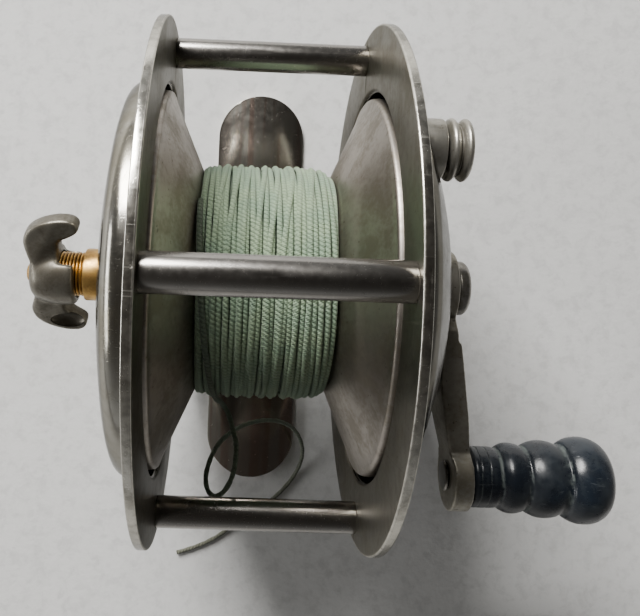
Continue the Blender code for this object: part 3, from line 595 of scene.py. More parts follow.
def twisted_line(name, pale, shade, seed, fade):
    """Twisted line: two plies wound round each other, with painted shade in the grooves between
    them, fibres and faded stretches.
    """
    f = Finish(name, pale, 0.0, 0.82)
    f.shader.inputs["Sheen Weight"].default_value = 0.18
    f.shader.inputs["Sheen Roughness"].default_value = 0.5
    run, side, top = f.apart(f.stored("strand", "Vector"))
    angle = f.sum("ARCTAN2", side, top)
    wander = f.noise(f.where, 900.0, 2.0)
    phase = f.total((run, math.tau / PLY_LENGTH), (f.minus(wander, 0.5), 2.6))
    ply = f.sum("ABSOLUTE", f.sum("SINE", f.plus(phase, angle)))
    cross = f.sum("ABSOLUTE", f.sum("SINE", f.total((phase, 2.0), (angle, -2.0))))
    stretched = f.joined(f.times(run, 420.0), f.times(side, 1.6), f.times(top, 1.6))
    faded = f.noise(stretched, 0.7, 3.0, 0.55)
    fibres = f.noise(f.mapped(f.where, (4200.0, 4200.0, 4200.0)), 1.0, 4.0, 0.75)
    patches = f.noise(f.vector("ADD", f.where, (seed, 0.0, 0.0)), 160.0, 3.0, 0.6)
    colour = f.blend(f.band(faded, 0.32, 0.68), toned(pale, 0.80), pale)
    colour = f.coats(colour,
                     (f.band(patches, 0.56, 0.36), 0.45, toned(pale, (0.68, 0.77, 0.84))),
                     (f.band(fibres, 0.46, 0.28), 0.5, toned(pale, (1.45, 1.32, 1.30))),
                     (f.band(patches, 0.42, 0.66), 0.35, toned(pale, (1.18, 1.10, 1.02))),
                     # Painted shade in the grooves between the plies and where they cross.
                     (f.band(ply, 0.50, 0.05), 0.62, shade),
                     (f.band(cross, 0.42, 0.04), 0.26, shade),
                     (f.band(run, 0.040, 0.075), fade, (0.135, 0.128, 0.098)),
                     (f.band(fibres, 0.52, 0.72), 0.38, shade))
    height = f.total((ply, 1.0), (cross, 0.45), (fibres, -0.35))
    return f.complete(colour, f.relief(height, 0.00013, 0.9))


def glossy_knob(name, colour):
    """Polished blue-black knob with a pale dull film left in the grooves and fine scuffs."""
    f = Finish(name, colour, 0.0, 0.2)
    spot = f.vector("SUBTRACT", f.where, (0.0, KNOB_Y, SPOOL_Z))
    cloud = f.noise(spot, 330.0, 5.0, 0.7, 0.6)
    film = f.times(f.band(f.stored("edge"), 0.15, -0.25), f.band(cloud, 0.42, 0.62))
    scuffs = f.noise(f.mapped(spot, (260.0, 2800.0, 2800.0), (0.4, 0.5, 0.3)), 1.0, 2.0)
    scuff = f.times(f.band(scuffs, 0.66, 0.74), 0.7)
    dust = f.band(f.noise(spot, 1500.0, 3.0, 0.6), 0.66, 0.76)
    dull = f.band(f.noise(spot, 210.0, 5.0, 0.65), 0.40, 0.70)
    patches = f.band(f.noise(spot, 140.0, 3.0), 0.38, 0.66)
    tone = f.coats(colour, (patches, 1.0, toned(colour, (1.4, 1.6, 1.7))),
                   (dull, 0.26, (0.052, 0.062, 0.070)), (film, 0.65, (0.130, 0.152, 0.142)),
                   (f.sum("MAXIMUM", scuff, dust), 0.16, (0.20, 0.22, 0.23)))
    rough = f.total((0.25, 1.0), (film, 0.35), (dull, 0.14), (scuff, 0.22),
                    (f.minus(cloud, 0.5), 0.22))
    height = f.total((f.noise(spot, 520.0, 3.0), 1.0), (scuff, -0.5))
    return f.complete(tone, f.relief(height, 0.00004, 0.6), f.sum("MAXIMUM", rough, 0.1))


def pressed_leather(name):
    """Pressed leather washer: fine grain, stained in patches."""
    f = Finish(name, (0.21, 0.11, 0.055), 0.0, 0.78)
    stain = f.noise(f.where, 700.0, 4.0, 0.6)
    tone = f.blend(f.band(stain, 0.35, 0.65), (0.12, 0.060, 0.030), (0.27, 0.15, 0.08))
    return f.complete(tone, f.relief(f.cells(f.where, 3200.0), 0.00005, 0.7),
                      f.total((0.66, 1.0), (stain, 0.25)))


def pale_floor(name, colour):
    """Matt pale board with a faint mottle and tooth."""
    f = Finish(name, colour, 0.0, 0.9)
    f.shader.inputs["Specular IOR Level"].default_value = 0.25
    cloud = f.noise(f.where, 22.0, 4.0, 0.6)
    tooth = f.noise(f.where, 900.0, 3.0, 0.6)
    mottle = f.noise(f.where, 330.0, 6.0, 0.7, 0.3)
    tone = f.blend(f.band(cloud, 0.3, 0.7), toned(colour, 0.955), colour)
    tone = f.coats(tone, (f.band(mottle, 0.44, 0.68), 0.8, toned(colour, 0.80)),
                   (f.band(tooth, 0.5, 0.72), 0.12, toned(colour, 0.86)))
    rise = f.plus(tooth, f.noise(f.where, 180.0, 3.0))
    return f.complete(tone, f.relief(rise, 0.00012, 0.5))


# Each metal: roughness, lathe marks, film, hairlines, pits, seed and the film's noise scale.
METALS = {
    "plate": ("worn_nickel_plate", 0.16, 0.22, 0.80, 0.80, 0.45, 0.0, 110.0),
    "flange": ("dull_nickel_flange", 0.37, 0.5, 1.0, 0.35, 0.45, 0.31, 190.0),
    "foot": ("bright_nickel_foot", 0.18, 0.0, 0.35, 0.45, 0.35, 0.17, 110.0),
    "pillar": ("turned_pillar_steel", 0.225, 0.4, 0.4, 0.35, 0.16, 0.53, 160.0),
    "screw": ("worn_screw_steel", 0.33, 0.2, 0.7, 0.7, 0.6, 0.71, 500.0),
    "shaft": ("turned_shaft_steel", 0.25, 0.7, 0.4, 0.4, 0.5, 0.83, 400.0),
    "brass": ("bare_brass", 0.36, 0.5, 0.75, 0.4, 0.5, 0.23, 420.0),
    "wing": ("worn_wing_plate", 0.36, 0.0, 0.9, 0.6, 0.5, 0.41, 300.0),
    "click": ("turned_click_plate", 0.33, 0.6, 0.6, 0.4, 0.5, 0.61, 320.0),
    "crank": ("dull_crank_plate", 0.40, 0.0, 0.9, 0.7, 0.5, 0.47, 190.0),
    "rivet": ("knob_rivet_steel", 0.32, 0.5, 0.5, 0.5, 0.6, 0.37, 500.0),
}
# Each line: how dark its line and its shade are, seed, and how far its end is faded.
LINES = {
    "line": ("sage_line", 1.0, 1.0, 0.0, 0.0),
    # The under layer and the core are darkened as painted shade under the top turns; the free end
    # is darkened as painted shade too.
    "shaded under line": ("shaded_under_line", 0.62, 0.6, 0.2, 0.0),
    "shaded core line": ("shaded_core_line", 0.42, 0.5, 0.4, 0.0),
    "tail line": ("loose_line", 0.40, 0.45, 0.7, 0.75),
    "lead line": ("lead_line", 0.36, 0.45, 0.9, 0.0),
}
FINISHES = {}


def metal_for(kind, sizes, c):
    """A metal's finish: its numbers, its clean and filmed colours, and what is its own."""
    nickel, tarnish, steel, brass = (tuple(v) for v in (c.nickel, c.tarnish, c.steel, c.brass))
    dim = toned(tarnish, 0.62)
    colours, own = {
        "plate": ((nickel, tarnish),
                  dict(face=sizes.half_gap, rim=sizes.plate_radius, grazing=0.5)),
        "flange": (((0.405, 0.370, 0.335), (0.270, 0.242, 0.200)), dict(grazing=0.85)),
        # The foot's brown streaks are painted reflection.
        "foot": ((toned(nickel, 1.5), toned(nickel, 1.2)),
                 dict(centre=(0.0, 0.0, 0.0), painted_reflection_streaks=(0.40, 0.225, 0.165))),
        "pillar": ((steel, toned(steel, 0.72)), {}),
        "screw": ((steel, dim), dict(metallic=0.8)),
        "shaft": ((steel, dim), {}),
        "brass": ((toned(brass, (0.80, 0.74, 0.60)), (0.26, 0.14, 0.05)),
                  dict(grime=(0.07, 0.035, 0.012))),
        "wing": (((0.175, 0.163, 0.135), (0.098, 0.087, 0.067)), dict(metallic=0.8)),
        "click": ((toned(nickel, 1.15), tarnish),
                  dict(centre=(0.0, CLICK_AT.y, CLICK_AT.z), metallic=0.8)),
        "crank": (((0.40, 0.38, 0.33), (0.25, 0.23, 0.18)), dict(metallic=0.72)),
        "rivet": ((toned(steel, 0.6), dim), dict(centre=(0.0, KNOB_Y, SPOOL_Z))),
    }[kind]
    return plated_metal(*METALS[kind], *colours, **own)


def finish_for(kind):
    """The shared finish of a kind of piece, made the first time it is wanted."""
    if kind not in FINISHES:
        scene = bpy.context.scene
        c = scene.reel_colours
        if kind in METALS:
            FINISHES[kind] = metal_for(kind, scene.reel_sizes, c)
        elif kind in LINES:
            name, pale, shade, seed, fade = LINES[kind]
            FINISHES[kind] = twisted_line(name, toned(c.line, pale), toned(c.ply_shade_and_dark_fibres, shade),
                                          seed, fade)
        elif kind == "knob":
            FINISHES[kind] = glossy_knob("blue_black_knob", tuple(c.handle))
        elif kind == "leather":
            FINISHES[kind] = pressed_leather("pressed_leather")
        else:
            raise KeyError(f"no finish called {kind}")
    return FINISHES[kind]


# ------------------------------------------------------------ line
def strand_mesh(name, route, radius, sides=8, lobes=0.0, lay=0.0023):
    """Sweeps line along a route and stores how far along and round each point is."""
    curve = bpy.data.curves.new(name, "CURVE")
    curve.dimensions = "3D"
    curve.twist_mode = "MINIMUM"
    curve.bevel_mode = "ROUND"
    curve.bevel_depth = radius
    curve.bevel_resolution = max(sides // 2 - 2, 0)
    curve.use_fill_caps = False
    spline = curve.splines.new("POLY")
    spline.points.add(len(route) - 1)
    for i, p in enumerate(route):
        spline.points[i].co = (p.x, p.y, p.z, 1.0)
    holder = bpy.data.objects.new(name, curve)
    bpy.context.scene.collection.objects.link(holder)
    mesh = bpy.data.meshes.new_from_object(
        holder.evaluated_get(bpy.context.evaluated_depsgraph_get()))
    bpy.data.objects.remove(holder, do_unlink=True)
    count = len(mesh.vertices)
    around = count // len(route)
    if around * len(route) != count:
        raise RuntimeError(f"{name}: {count} points do not make {len(route)} rings")
    places = np.empty(count * 3)
    mesh.vertices.foreach_get("co", places)
    places = places.reshape(len(route), around, 3)
    middle = np.array([tuple(p) for p in route])
    steps = np.linalg.norm(np.diff(middle, axis=0), axis=1)
    run = np.concatenate(([0.0], np.cumsum(steps)))
    turn = np.arange(around) / around * math.tau
    if lobes > 0.0:
        swell = 1.0 - lobes + lobes * np.abs(np.sin(turn[None, :] + math.pi * run[:, None] / lay))
        places = middle[:, None, :] + (places - middle[:, None, :]) * swell[:, :, None]
        mesh.vertices.foreach_set("co", places.reshape(-1))
    data = np.empty((len(route), around, 3), dtype=np.float32)
    data[:, :, 0] = run[:, None]
    data[:, :, 1] = np.sin(turn)[None, :]
    data[:, :, 2] = np.cos(turn)[None, :]
    store = mesh.attributes.new("strand", "FLOAT_VECTOR", "POINT")
    store.data.foreach_set("vector", data.reshape(-1))
    bm = bmesh.new()
    bm.from_mesh(mesh)
    bpy.data.meshes.remove(mesh)
    bmesh.ops.holes_fill(bm, edges=[e for e in bm.edges if e.is_boundary])
    bmesh.ops.recalc_face_normals(bm, faces=bm.faces)
    return bm


# The free end of the line, from the spool to the floor, measured from the spool axis.
TAIL_ROUTE = [
    (-0.0058, -0.0178, 0.0022), (-0.0053, -0.0185, 0.0012), (-0.0045, -0.0200, 0.0002),
    (-0.0039, -0.0220, -0.0006), (-0.0033, -0.0242, -0.0012), (-0.0032, -0.0264, -0.0017),
    (-0.0034, -0.0285, -0.0021), (-0.0040, -0.0305, -0.0024), (-0.0050, -0.0321, -0.0027),
    (-0.0062, -0.0328, -0.0034), (-0.0072, -0.0324, -0.0046), (-0.0077, -0.0310, -0.0062),
    (-0.0074, -0.0292, -0.0084), (-0.0065, -0.0274, -0.0112), (-0.0050, -0.0261, -0.0146),
    (-0.0028, -0.0252, -0.0186), (-0.0001, -0.0249, -0.0230), (0.0030, -0.0252, -0.0275),
    (0.0061, -0.0263, -0.0316), (0.0087, -0.0285, -0.0350), (0.0102, -0.0317, -0.0376),
    (0.0103, -0.0348, -0.0394), (0.0091, -0.0380, -0.0404), (0.0070, -0.0408, -0.0405),
    (0.0041, -0.0435, -0.0405), (0.0005, -0.0459, -0.0405), (-0.0030, -0.0484, -0.0405),
    (-0.0064, -0.0508, -0.0405), (-0.0099, -0.0525, -0.0405), (-0.0137, -0.0538, -0.0405)]


def evenly(points, spacing):
    """The same route with its points a set distance apart."""
    fine = flowing(points, 40)
    out = [fine[0].copy()]
    walked = 0.0
    for before, after in zip(fine, fine[1:]):
        walked += (after - before).length
        if walked >= spacing:
            out.append(after.copy())
            walked = 0.0
    if (out[-1] - fine[-1]).length > spacing * 0.3:
        out.append(fine[-1].copy())
    return out


def flange_cone(sizes):
    """Where a flange's flat middle lies, and its face's place at a radius."""
    cone = sizes.half_gap - CONE_INSET
    slope = (sizes.half_gap - 0.0004 - cone) / (sizes.flange_radius - 0.0008 - CONE_START)
    return cone, lambda radius: cone + (radius - CONE_START) * slope


# ------------------------------------------------------------ operators
class REEL_OT_stage(bpy.types.Operator):
    """Make the floor, the lights and the camera"""
    bl_idname = "reel.stage"
    bl_label = "Stage and camera"

    def execute(self, context):
        scene = context.scene
        colours = scene.reel_colours
        bm = bmesh.new()
        bmesh.ops.create_grid(bm, x_segments=2, y_segments=2, size=1.6)
        bmesh.ops.translate(bm, verts=bm.verts, vec=(0.0, 0.0, -0.00005))
        floor = loose_object(bm, "floor")
        floor.data.materials.append(pale_floor("pale_floor", tuple(colours.floor)))

        world = bpy.data.worlds.new("soft_room")
        world.use_nodes = True
        scene.world = world
        nodes, links = world.node_tree.nodes, world.node_tree.links
        sky = nodes["Background"]
        where = nodes.new("ShaderNodeTexCoord")
        split = nodes.new("ShaderNodeSeparateXYZ")
        ramp = nodes.new("ShaderNodeValToRGB")
        links.new(where.outputs["Generated"], split.inputs[0])
        links.new(split.outputs[2], ramp.inputs[0])
        sides = nodes.new("ShaderNodeMapRange")
        sides.interpolation_type = "SMOOTHSTEP"
        links.new(split.outputs[0], sides.inputs["Value"])
        for socket, value in (("From Min", -0.5), ("From Max", 0.6), ("To Min", 1.0),
                              ("To Max", 0.42)):
            sides.inputs[socket].default_value = value
        shaded = nodes.new("ShaderNodeVectorMath")
        shaded.operation = "SCALE"
        links.new(ramp.outputs[0], shaded.inputs[0])
        links.new(sides.outputs["Result"], shaded.inputs["Scale"])
        links.new(shaded.outputs[0], sky.inputs[0])
        steps = ((0.0, (0.60, 0.60, 0.59)), (0.22, (0.40, 0.40, 0.395)),
                 (0.45, (0.21, 0.207, 0.20)), (0.72, (0.115, 0.11, 0.103)),
                 (1.0, (0.066, 0.060, 0.054)))
        elements = ramp.color_ramp.elements
        elements[0].color = (*steps[0][1], 1.0)
        elements[1].color = (*steps[-1][1], 1.0)
        for place, colour in steps[1:-1]:
            elements.new(place).color = (*colour, 1.0)
        sky.inputs[1].default_value = 0.9

        lamps = (
            ("key_softbox", (-0.27, 0.52, 0.46), (0.30, 0.30), 13.0, (1.0, 0.985, 0.96)),
            ("side_strip", (-0.60, -0.05, 0.22), (0.50, 0.12), 1.6, (1.0, 1.0, 1.0)),
        )
        for name, place, size, power, colour in lamps:
            lamp = bpy.data.lights.new(name, "AREA")
            lamp.shape = "RECTANGLE"
            lamp.size, lamp.size_y = size
            lamp.energy = power
            lamp.color = colour
            holder = bpy.data.objects.new(name, lamp)
            holder.location = place
            aim = Vector((0.0, 0.0, 0.03)) - Vector(place)
            holder.rotation_euler = aim.to_track_quat("-Z", "Y").to_euler()
            scene.collection.objects.link(holder)

        lens = bpy.data.cameras.new("camera")
        lens.lens = 42.7175
        lens.sensor_width = 36.0
        lens.shift_x = 0.111885
        lens.shift_y = -0.111368
        lens.clip_start = 0.002
        lens.clip_end = 20.0
        camera = bpy.data.objects.new("camera", lens)
        camera.location = AXIS + Vector((-0.0046634, -0.0015642, 0.1143961))
        camera.rotation_euler = (math.radians(4.02945), math.radians(-1.19161),
                                 math.radians(2.14772))
        scene.collection.objects.link(camera)
        scene.camera = camera
        return {"FINISHED"}


class REEL_OT_free_line(bpy.types.Operator):
    """Make the free end of the line, which loops by the front pillar and lies on the floor"""
    bl_idname = "reel.free_line"
    bl_label = "Free end of the line"

    def execute(self, context):
        radius = context.scene.reel_sizes.line_diameter / 2.0
        route = evenly([AXIS + Vector(p) for p in TAIL_ROUTE], 0.00026)
        bm = strand_mesh("free_line", route, radius, sides=12, lobes=0.16)
        # The free end is darkened as painted shade.
        tail = finished_piece("free_line", bm, finish_for("tail line"), "frame",
                              ("line_tail",), angle=80.0)
        return {"FINISHED"}


class REEL_OT_side_plates(bpy.types.Operator):
    """Make the two dished side plates"""
    bl_idname = "reel.side_plates"
    bl_label = "Side plates"

    def execute(self, context):
        s = context.scene.reel_sizes
        r = s.plate_radius
        dish = r - DISH_INSET
        t = s.sheet
        flat = [(dish + 0.0016, t, 0.0006), (dish + 0.0008, 0.0013, 0.0005)]
        left = [(dish + 0.0005, 0.0038, 0.0012), (dish - 0.0004, 0.0050, 0.0009),
                (dish - 0.0020, 0.0056, 0.0012), (dish * 0.70422, 0.0070, 0.004),
                (dish * 0.45775, 0.0080, 0.003), (0.0085, LEFT_TOP, 0.002),
                (0.0036, LEFT_TOP, 0.0002)]
        right = [(dish + 0.0004, 0.0036, 0.0010), (dish - 0.0006, 0.0047, 0.0008),
                 (dish - 0.0022, 0.0054, 0.0010), (dish * 0.70422, 0.0080, 0.004),
                 (dish * 0.44014, 0.0102, 0.002), (0.0085, RIGHT_TOP, 0.001),
                 (0.0042, RIGHT_TOP, 0.0002)]
        for side, word, rise in ((-1.0, "left", left), (1.0, "right", right)):
            outer = flat + rise
            bore, top = outer[-1][:2]
            inner = [(bore, top - t, 0.0002), (0.0084, top - t, 0.001)]
            for point in reversed(outer[1:-2]):
                steep = point[1] < 0.0045
                inner.append((point[0] - t * (1.0 if steep else 0.25),
                              point[1] - t * (0.45 if steep else 1.0), 0.0009))
            inner += [(dish, 0.00045, 0.0003), (dish + 0.0005, 0.0, 0.0003),
                      (r - 0.00005, 0.0, 0.00022)]
            lip = [(r - 0.00005, 0.0012, 0.0002), (r - 0.0011, 0.0012, 0.0002),
                   (r - 0.0013, t, 0.0002)]
            profile = rounded(lip + outer + inner, 0.0003, 4)
            bm = turned_on_lathe([(a, side * (s.half_gap + b)) for a, b in profile], 192,
                                 centre=SPOOL_CENTRE)
            holes = []
            for i in range(4):
                a = math.radians(90.0 * i)
                ring = r - PILLAR_INSET
                spot = Vector((side * s.half_gap, ring * math.sin(a),
                               SPOOL_Z + ring * math.cos(a)))
                reach = Vector((0.002, 0, 0))
                holes.append(bar(0.0014, spot - reach, spot + reach, 24))
            if side > 0:
                spot = Vector((s.half_gap, CLICK_AT.y, CLICK_AT.z))
                holes.append(bar(0.0044, spot + Vector((0.0015, 0, 0)),
                                 spot + Vector((0.0125, 0, 0)), 64))
            bm = carved(bm, holes)
            finished_piece(f"{word}_plate", bm, finish_for("plate"), "frame",
                           (f"{word}_side_plate",))
        return {"FINISHED"}


class REEL_OT_pillars(bpy.types.Operator):
    """Make the four pillars and the eight screws that hold them"""
    bl_idname = "reel.pillars"
    bl_label = "Pillars and screws"

    def execute(self, context):
        s = context.scene.reel_sizes
        ring = s.plate_radius - PILLAR_INSET
        end = s.half_gap + 0.0001
        for label, degrees in (("near", 0.0), ("back", 90.0), ("bottom", 180.0), ("front", 270.0)):
            a = math.radians(degrees)
            spot = (ring * math.sin(a), SPOOL_Z + ring * math.cos(a))
            pr = s.pillar_radius
            profile = [(0.0014, -end), (pr, -end, 0.00028), (pr, end, 0.00028), (0.0014, end),
                       (0.0014, end - 0.005), (0.0, end - 0.005)]
            mirrored = [(0.0, -end + 0.005), (0.0014, -end + 0.005)] + profile
            bm = turned(mirrored, 0.0, 4, 64, spot, closed=False)
            finished_piece(f"pillar_{label}_bar", bm, finish_for("pillar"), "frame",
                           (f"pillar_{label}",))
            for side, word in ((-1.0, "left"), (1.0, "right")):
                face = s.half_gap + s.sheet + 0.0003
                points = [(0.0, face + 0.00052), (0.0010, face + 0.00048, 0.0006),
                          (0.0016, face + 0.00028, 0.0003), (0.00175, face + 0.0000, 0.0001),
                          (0.00170, face - 0.00020, 0.00004), (0.0011, face - 0.00020, 0.00004),
                          (0.0011, s.half_gap - 0.0045, 0.0002), (0.0, s.half_gap - 0.0045)]
                bm = turned(points, 0.0001, 3, 40, spot, closed=False, side=side)
                turn = Matrix.Rotation(a + math.radians(25.0 if side > 0 else 70.0), 3, "X")
                slot = block((0.0011, 0.00042, 0.0050),
                             (side * (face + 0.00066), spot[0], spot[1]), turn)
                bm = eased(carved(bm, [slot]), 0.00005, 2, 40.0)
                finished_piece(f"pillar_{label}_screw_{word}", bm, finish_for("screw"), "frame",
                               (f"pillar_screw_{label}_{word}",))
        return {"FINISHED"}


class REEL_OT_foot(bpy.types.Operator):
    """Make the crowned foot with its rounded ends"""
    bl_idname = "reel.foot"
    bl_label = "Foot"

    def execute(self, context):
        s = context.scene.reel_sizes
        half_l, half_w = s.foot_length / 2.0, s.foot_width / 2.0
        thick, edge = 0.0024, 0.0009
        bm = bmesh.new()
        bmesh.ops.create_grid(bm, x_segments=40, y_segments=160, size=1.0)
        straight = half_l - half_w * 0.98
        for v in bm.verts:
            u, w = v.co.x, v.co.y
            y = half_l * math.copysign(1.0 - (1.0 - abs(w)) ** 1.35, w)
            over = max(abs(y) - straight, 0.0) / (half_w * 0.98)
            wide = half_w * math.sqrt(max(1.0 - over * over, 0.0004))
            x = u * wide
            across = min(abs(x) / half_w, 1.0)
            tip = min(over, 1.0) ** 2
            z = edge + (thick - edge) * (1.0 - across * across) * (1.0 - 0.12 * tip)
            v.co = (x, y, z)
        grown = bmesh.ops.extrude_face_region(bm, geom=bm.faces[:])
        for g in grown["geom"]:
            if isinstance(g, bmesh.types.BMVert):
                g.co.z = 0.0
        bmesh.ops.recalc_face_normals(bm, faces=bm.faces)
        tools = []
        for x in (-0.004, 0.004):
            tools.append(bar(0.0013, (x, 0, -0.002), (x, 0, 0.006), 32))
            sink = bmesh.new()
            bmesh.ops.create_cone(sink, cap_ends=True, segments=40, radius1=0.0024,
                                  radius2=0.0011, depth=0.0014)
            bmesh.ops.translate(sink, verts=sink.verts, vec=(x, 0.0, 0.0006))
            tools.append(sink)
        bm = eased(carved(bm, tools), 0.00022, 3, 40.0)
        finished_piece("foot", bm, finish_for("foot"), "frame", ("reel_foot",),
                       40.0)
        return {"FINISHED"}


class REEL_OT_flanges(bpy.types.Operator):
    """Make the two spool flanges with rolled rims"""
    bl_idname = "reel.flanges"
    bl_label = "Spool flanges"

    def execute(self, context):
        s = context.scene.reel_sizes
        roll = 0.0006
        rim = s.flange_radius - roll
        rim_x = s.half_gap + 0.0002
        wide = 0.0011
        cone, face = flange_cone(s)
        thick = 0.0006
        for side, word in ((-1.0, "left"), (1.0, "right")):
            points = [(0.0028, cone, 0.0001), (0.006, cone, 0.0012), (0.0170, face(0.0170), 0.001),
                      (rim - 0.0011, face(rim - 0.0011), 0.0004)]
            points += [(rim + roll * math.cos(a), rim_x + roll * math.sin(a), 0.0)
                       for a in [math.radians(d) for d in range(-95, 0, 14)]]
            points += [(rim + roll + 0.00008, rim_x + wide / 2.0, 0.0)]
            points += [(rim + roll * math.cos(a), rim_x + wide + roll * math.sin(a), 0.0)
                       for a in [math.radians(d) for d in range(3, 155, 14)]]
            points += [(rim - 0.0013, face(rim - 0.0011) + thick, 0.0003),
                       (0.0058, cone + thick, 0.0006), (0.0046, cone + thick, 0.0002),
                       (0.0046, cone + 0.0038, 0.0002), (0.0028, cone + 0.0038, 0.0001)]
            bm = turned(points, 0.0002, 3, 160, side=side)
            finished_piece(f"{word}_spool_flange", bm, finish_for("flange"), "spool",
                           (f"{word}_flange",))
        return {"FINISHED"}


class REEL_OT_wound_line(bpy.types.Operator):
    """Wind the line on the spool in layers of uneven turns"""
    bl_idname = "reel.wound_line"
    bl_label = "Wound line"

    def execute(self, context):
        s = context.scene.reel_sizes
        radius = s.line_diameter / 2.0
        outer = s.pack_radius
        _, face = flange_cone(s)

        def spread(r, extra):
            return face(r) - radius - 0.00015 - extra

        core_r = outer - 0.00155
        points = [(0.0063, -face(0.0063) + 0.00035), (core_r - 0.0002, -face(core_r) + 0.0006),
                  (core_r, -face(core_r) + 0.0012), (core_r, face(core_r) - 0.0016),
                  (core_r - 0.0006, face(core_r) - 0.0009), (0.0063, face(0.0063) - 0.00035)]
        bm = turned(points, 0.0004, 3, 96)
        layer = bm.verts.layers.float_vector.new("strand")
        for v in bm.verts:
            a = math.atan2(v.co.y, v.co.z - SPOOL_Z)
            v[layer] = Vector((v.co.x * 22.0 + a * 0.0171, math.sin(a), math.cos(a)))
        # The core is darkened as painted shade under the turns.
        finished_piece("line_core", bm, finish_for("shaded core line"), "spool",
                       ("line_pack",), angle=80.0)

        def wind(name, base, turns, x0, x1, wander, lift, phase, per_turn, sides, finish, droop):
            route = []
            count = int(turns * per_turn)
            for i in range(count + 1):
                turn = i / per_turn
                t = turn / turns
                angle = turn * math.tau + phase
                drift = noise.noise(Vector((math.cos(angle) * 0.9, math.sin(angle) * 0.9,
                                            turn * 0.61 + phase * 3.1)))
                broad = noise.noise(Vector((math.cos(angle) * 0.7 + 5.0, math.sin(angle) * 0.7,
                                            turn * 0.09 + phase)))
                x = x0 + (x1 - x0) * t + wander * (0.75 * drift + 0.9 * broad)
                bump = noise.noise(Vector((math.cos(angle) * 1.3, math.sin(angle) * 1.3 + 9.0,
                                           turn * 0.83 - phase)))
                r = base + lift * bump
                if droop > 0.0:
                    r -= droop * max(0.0, (x - 0.0070) / 0.0018) ** 1.6
                    r -= 0.35 * droop * max(0.0, (-x - 0.0078) / 0.0014) ** 1.6
                limit = spread(r, 0.0)
                x = max(-limit, min(limit, x))
                route.append(AXIS + Vector((x, math.sin(angle) * r, math.cos(angle) * r)))
            bm = strand_mesh(name, route, radius, sides=sides)
            finished_piece(name, bm, finish_for(finish), "spool", (), angle=80.0)

        # The deep layer is darkened as painted shade under the top layer.
        wind("line_layer_deep", outer - 0.00125, s.line_turns + 1, -0.0096, 0.0096, 0.00018,
             0.00005, 0.4, 64, 8, "shaded under line", 0.0009)
        wind("line_layer_top", outer - 0.00052, s.line_turns, 0.0097, -0.0097, 0.00050,
             0.00018, 2.1, 96, 10, "line", 0.0009)
        wind("line_layer_last", outer - 0.00028, 8, -0.0072, 0.0070, 0.00110, 0.00012,
             4.4, 96, 10, "line", 0.0005)

        # The last turn lifts off the winding and leads to the free end.
        leave = Vector(TAIL_ROUTE[0])
        a1 = math.atan2(-leave.y, leave.z)
        r1 = math.hypot(leave.y, leave.z)
        spots = []
        for k in range(13):
            t = k / 12.0
            a = math.radians(-38.0) + (a1 - math.radians(-38.0)) * t
            r = outer - 0.0004 + (r1 - outer + 0.0004) * t ** 0.6
            x = -0.0094 + (leave.x + 0.0094) * t ** 1.7
            spots.append(AXIS + Vector((x, -math.sin(a) * r, math.cos(a) * r)))
        bm = strand_mesh("line_lead", evenly(spots, 0.00045), radius, sides=10)
        finished_piece("line_lead", bm, finish_for("lead line"), "spool", (),
                       angle=80.0)
        return {"FINISHED"}


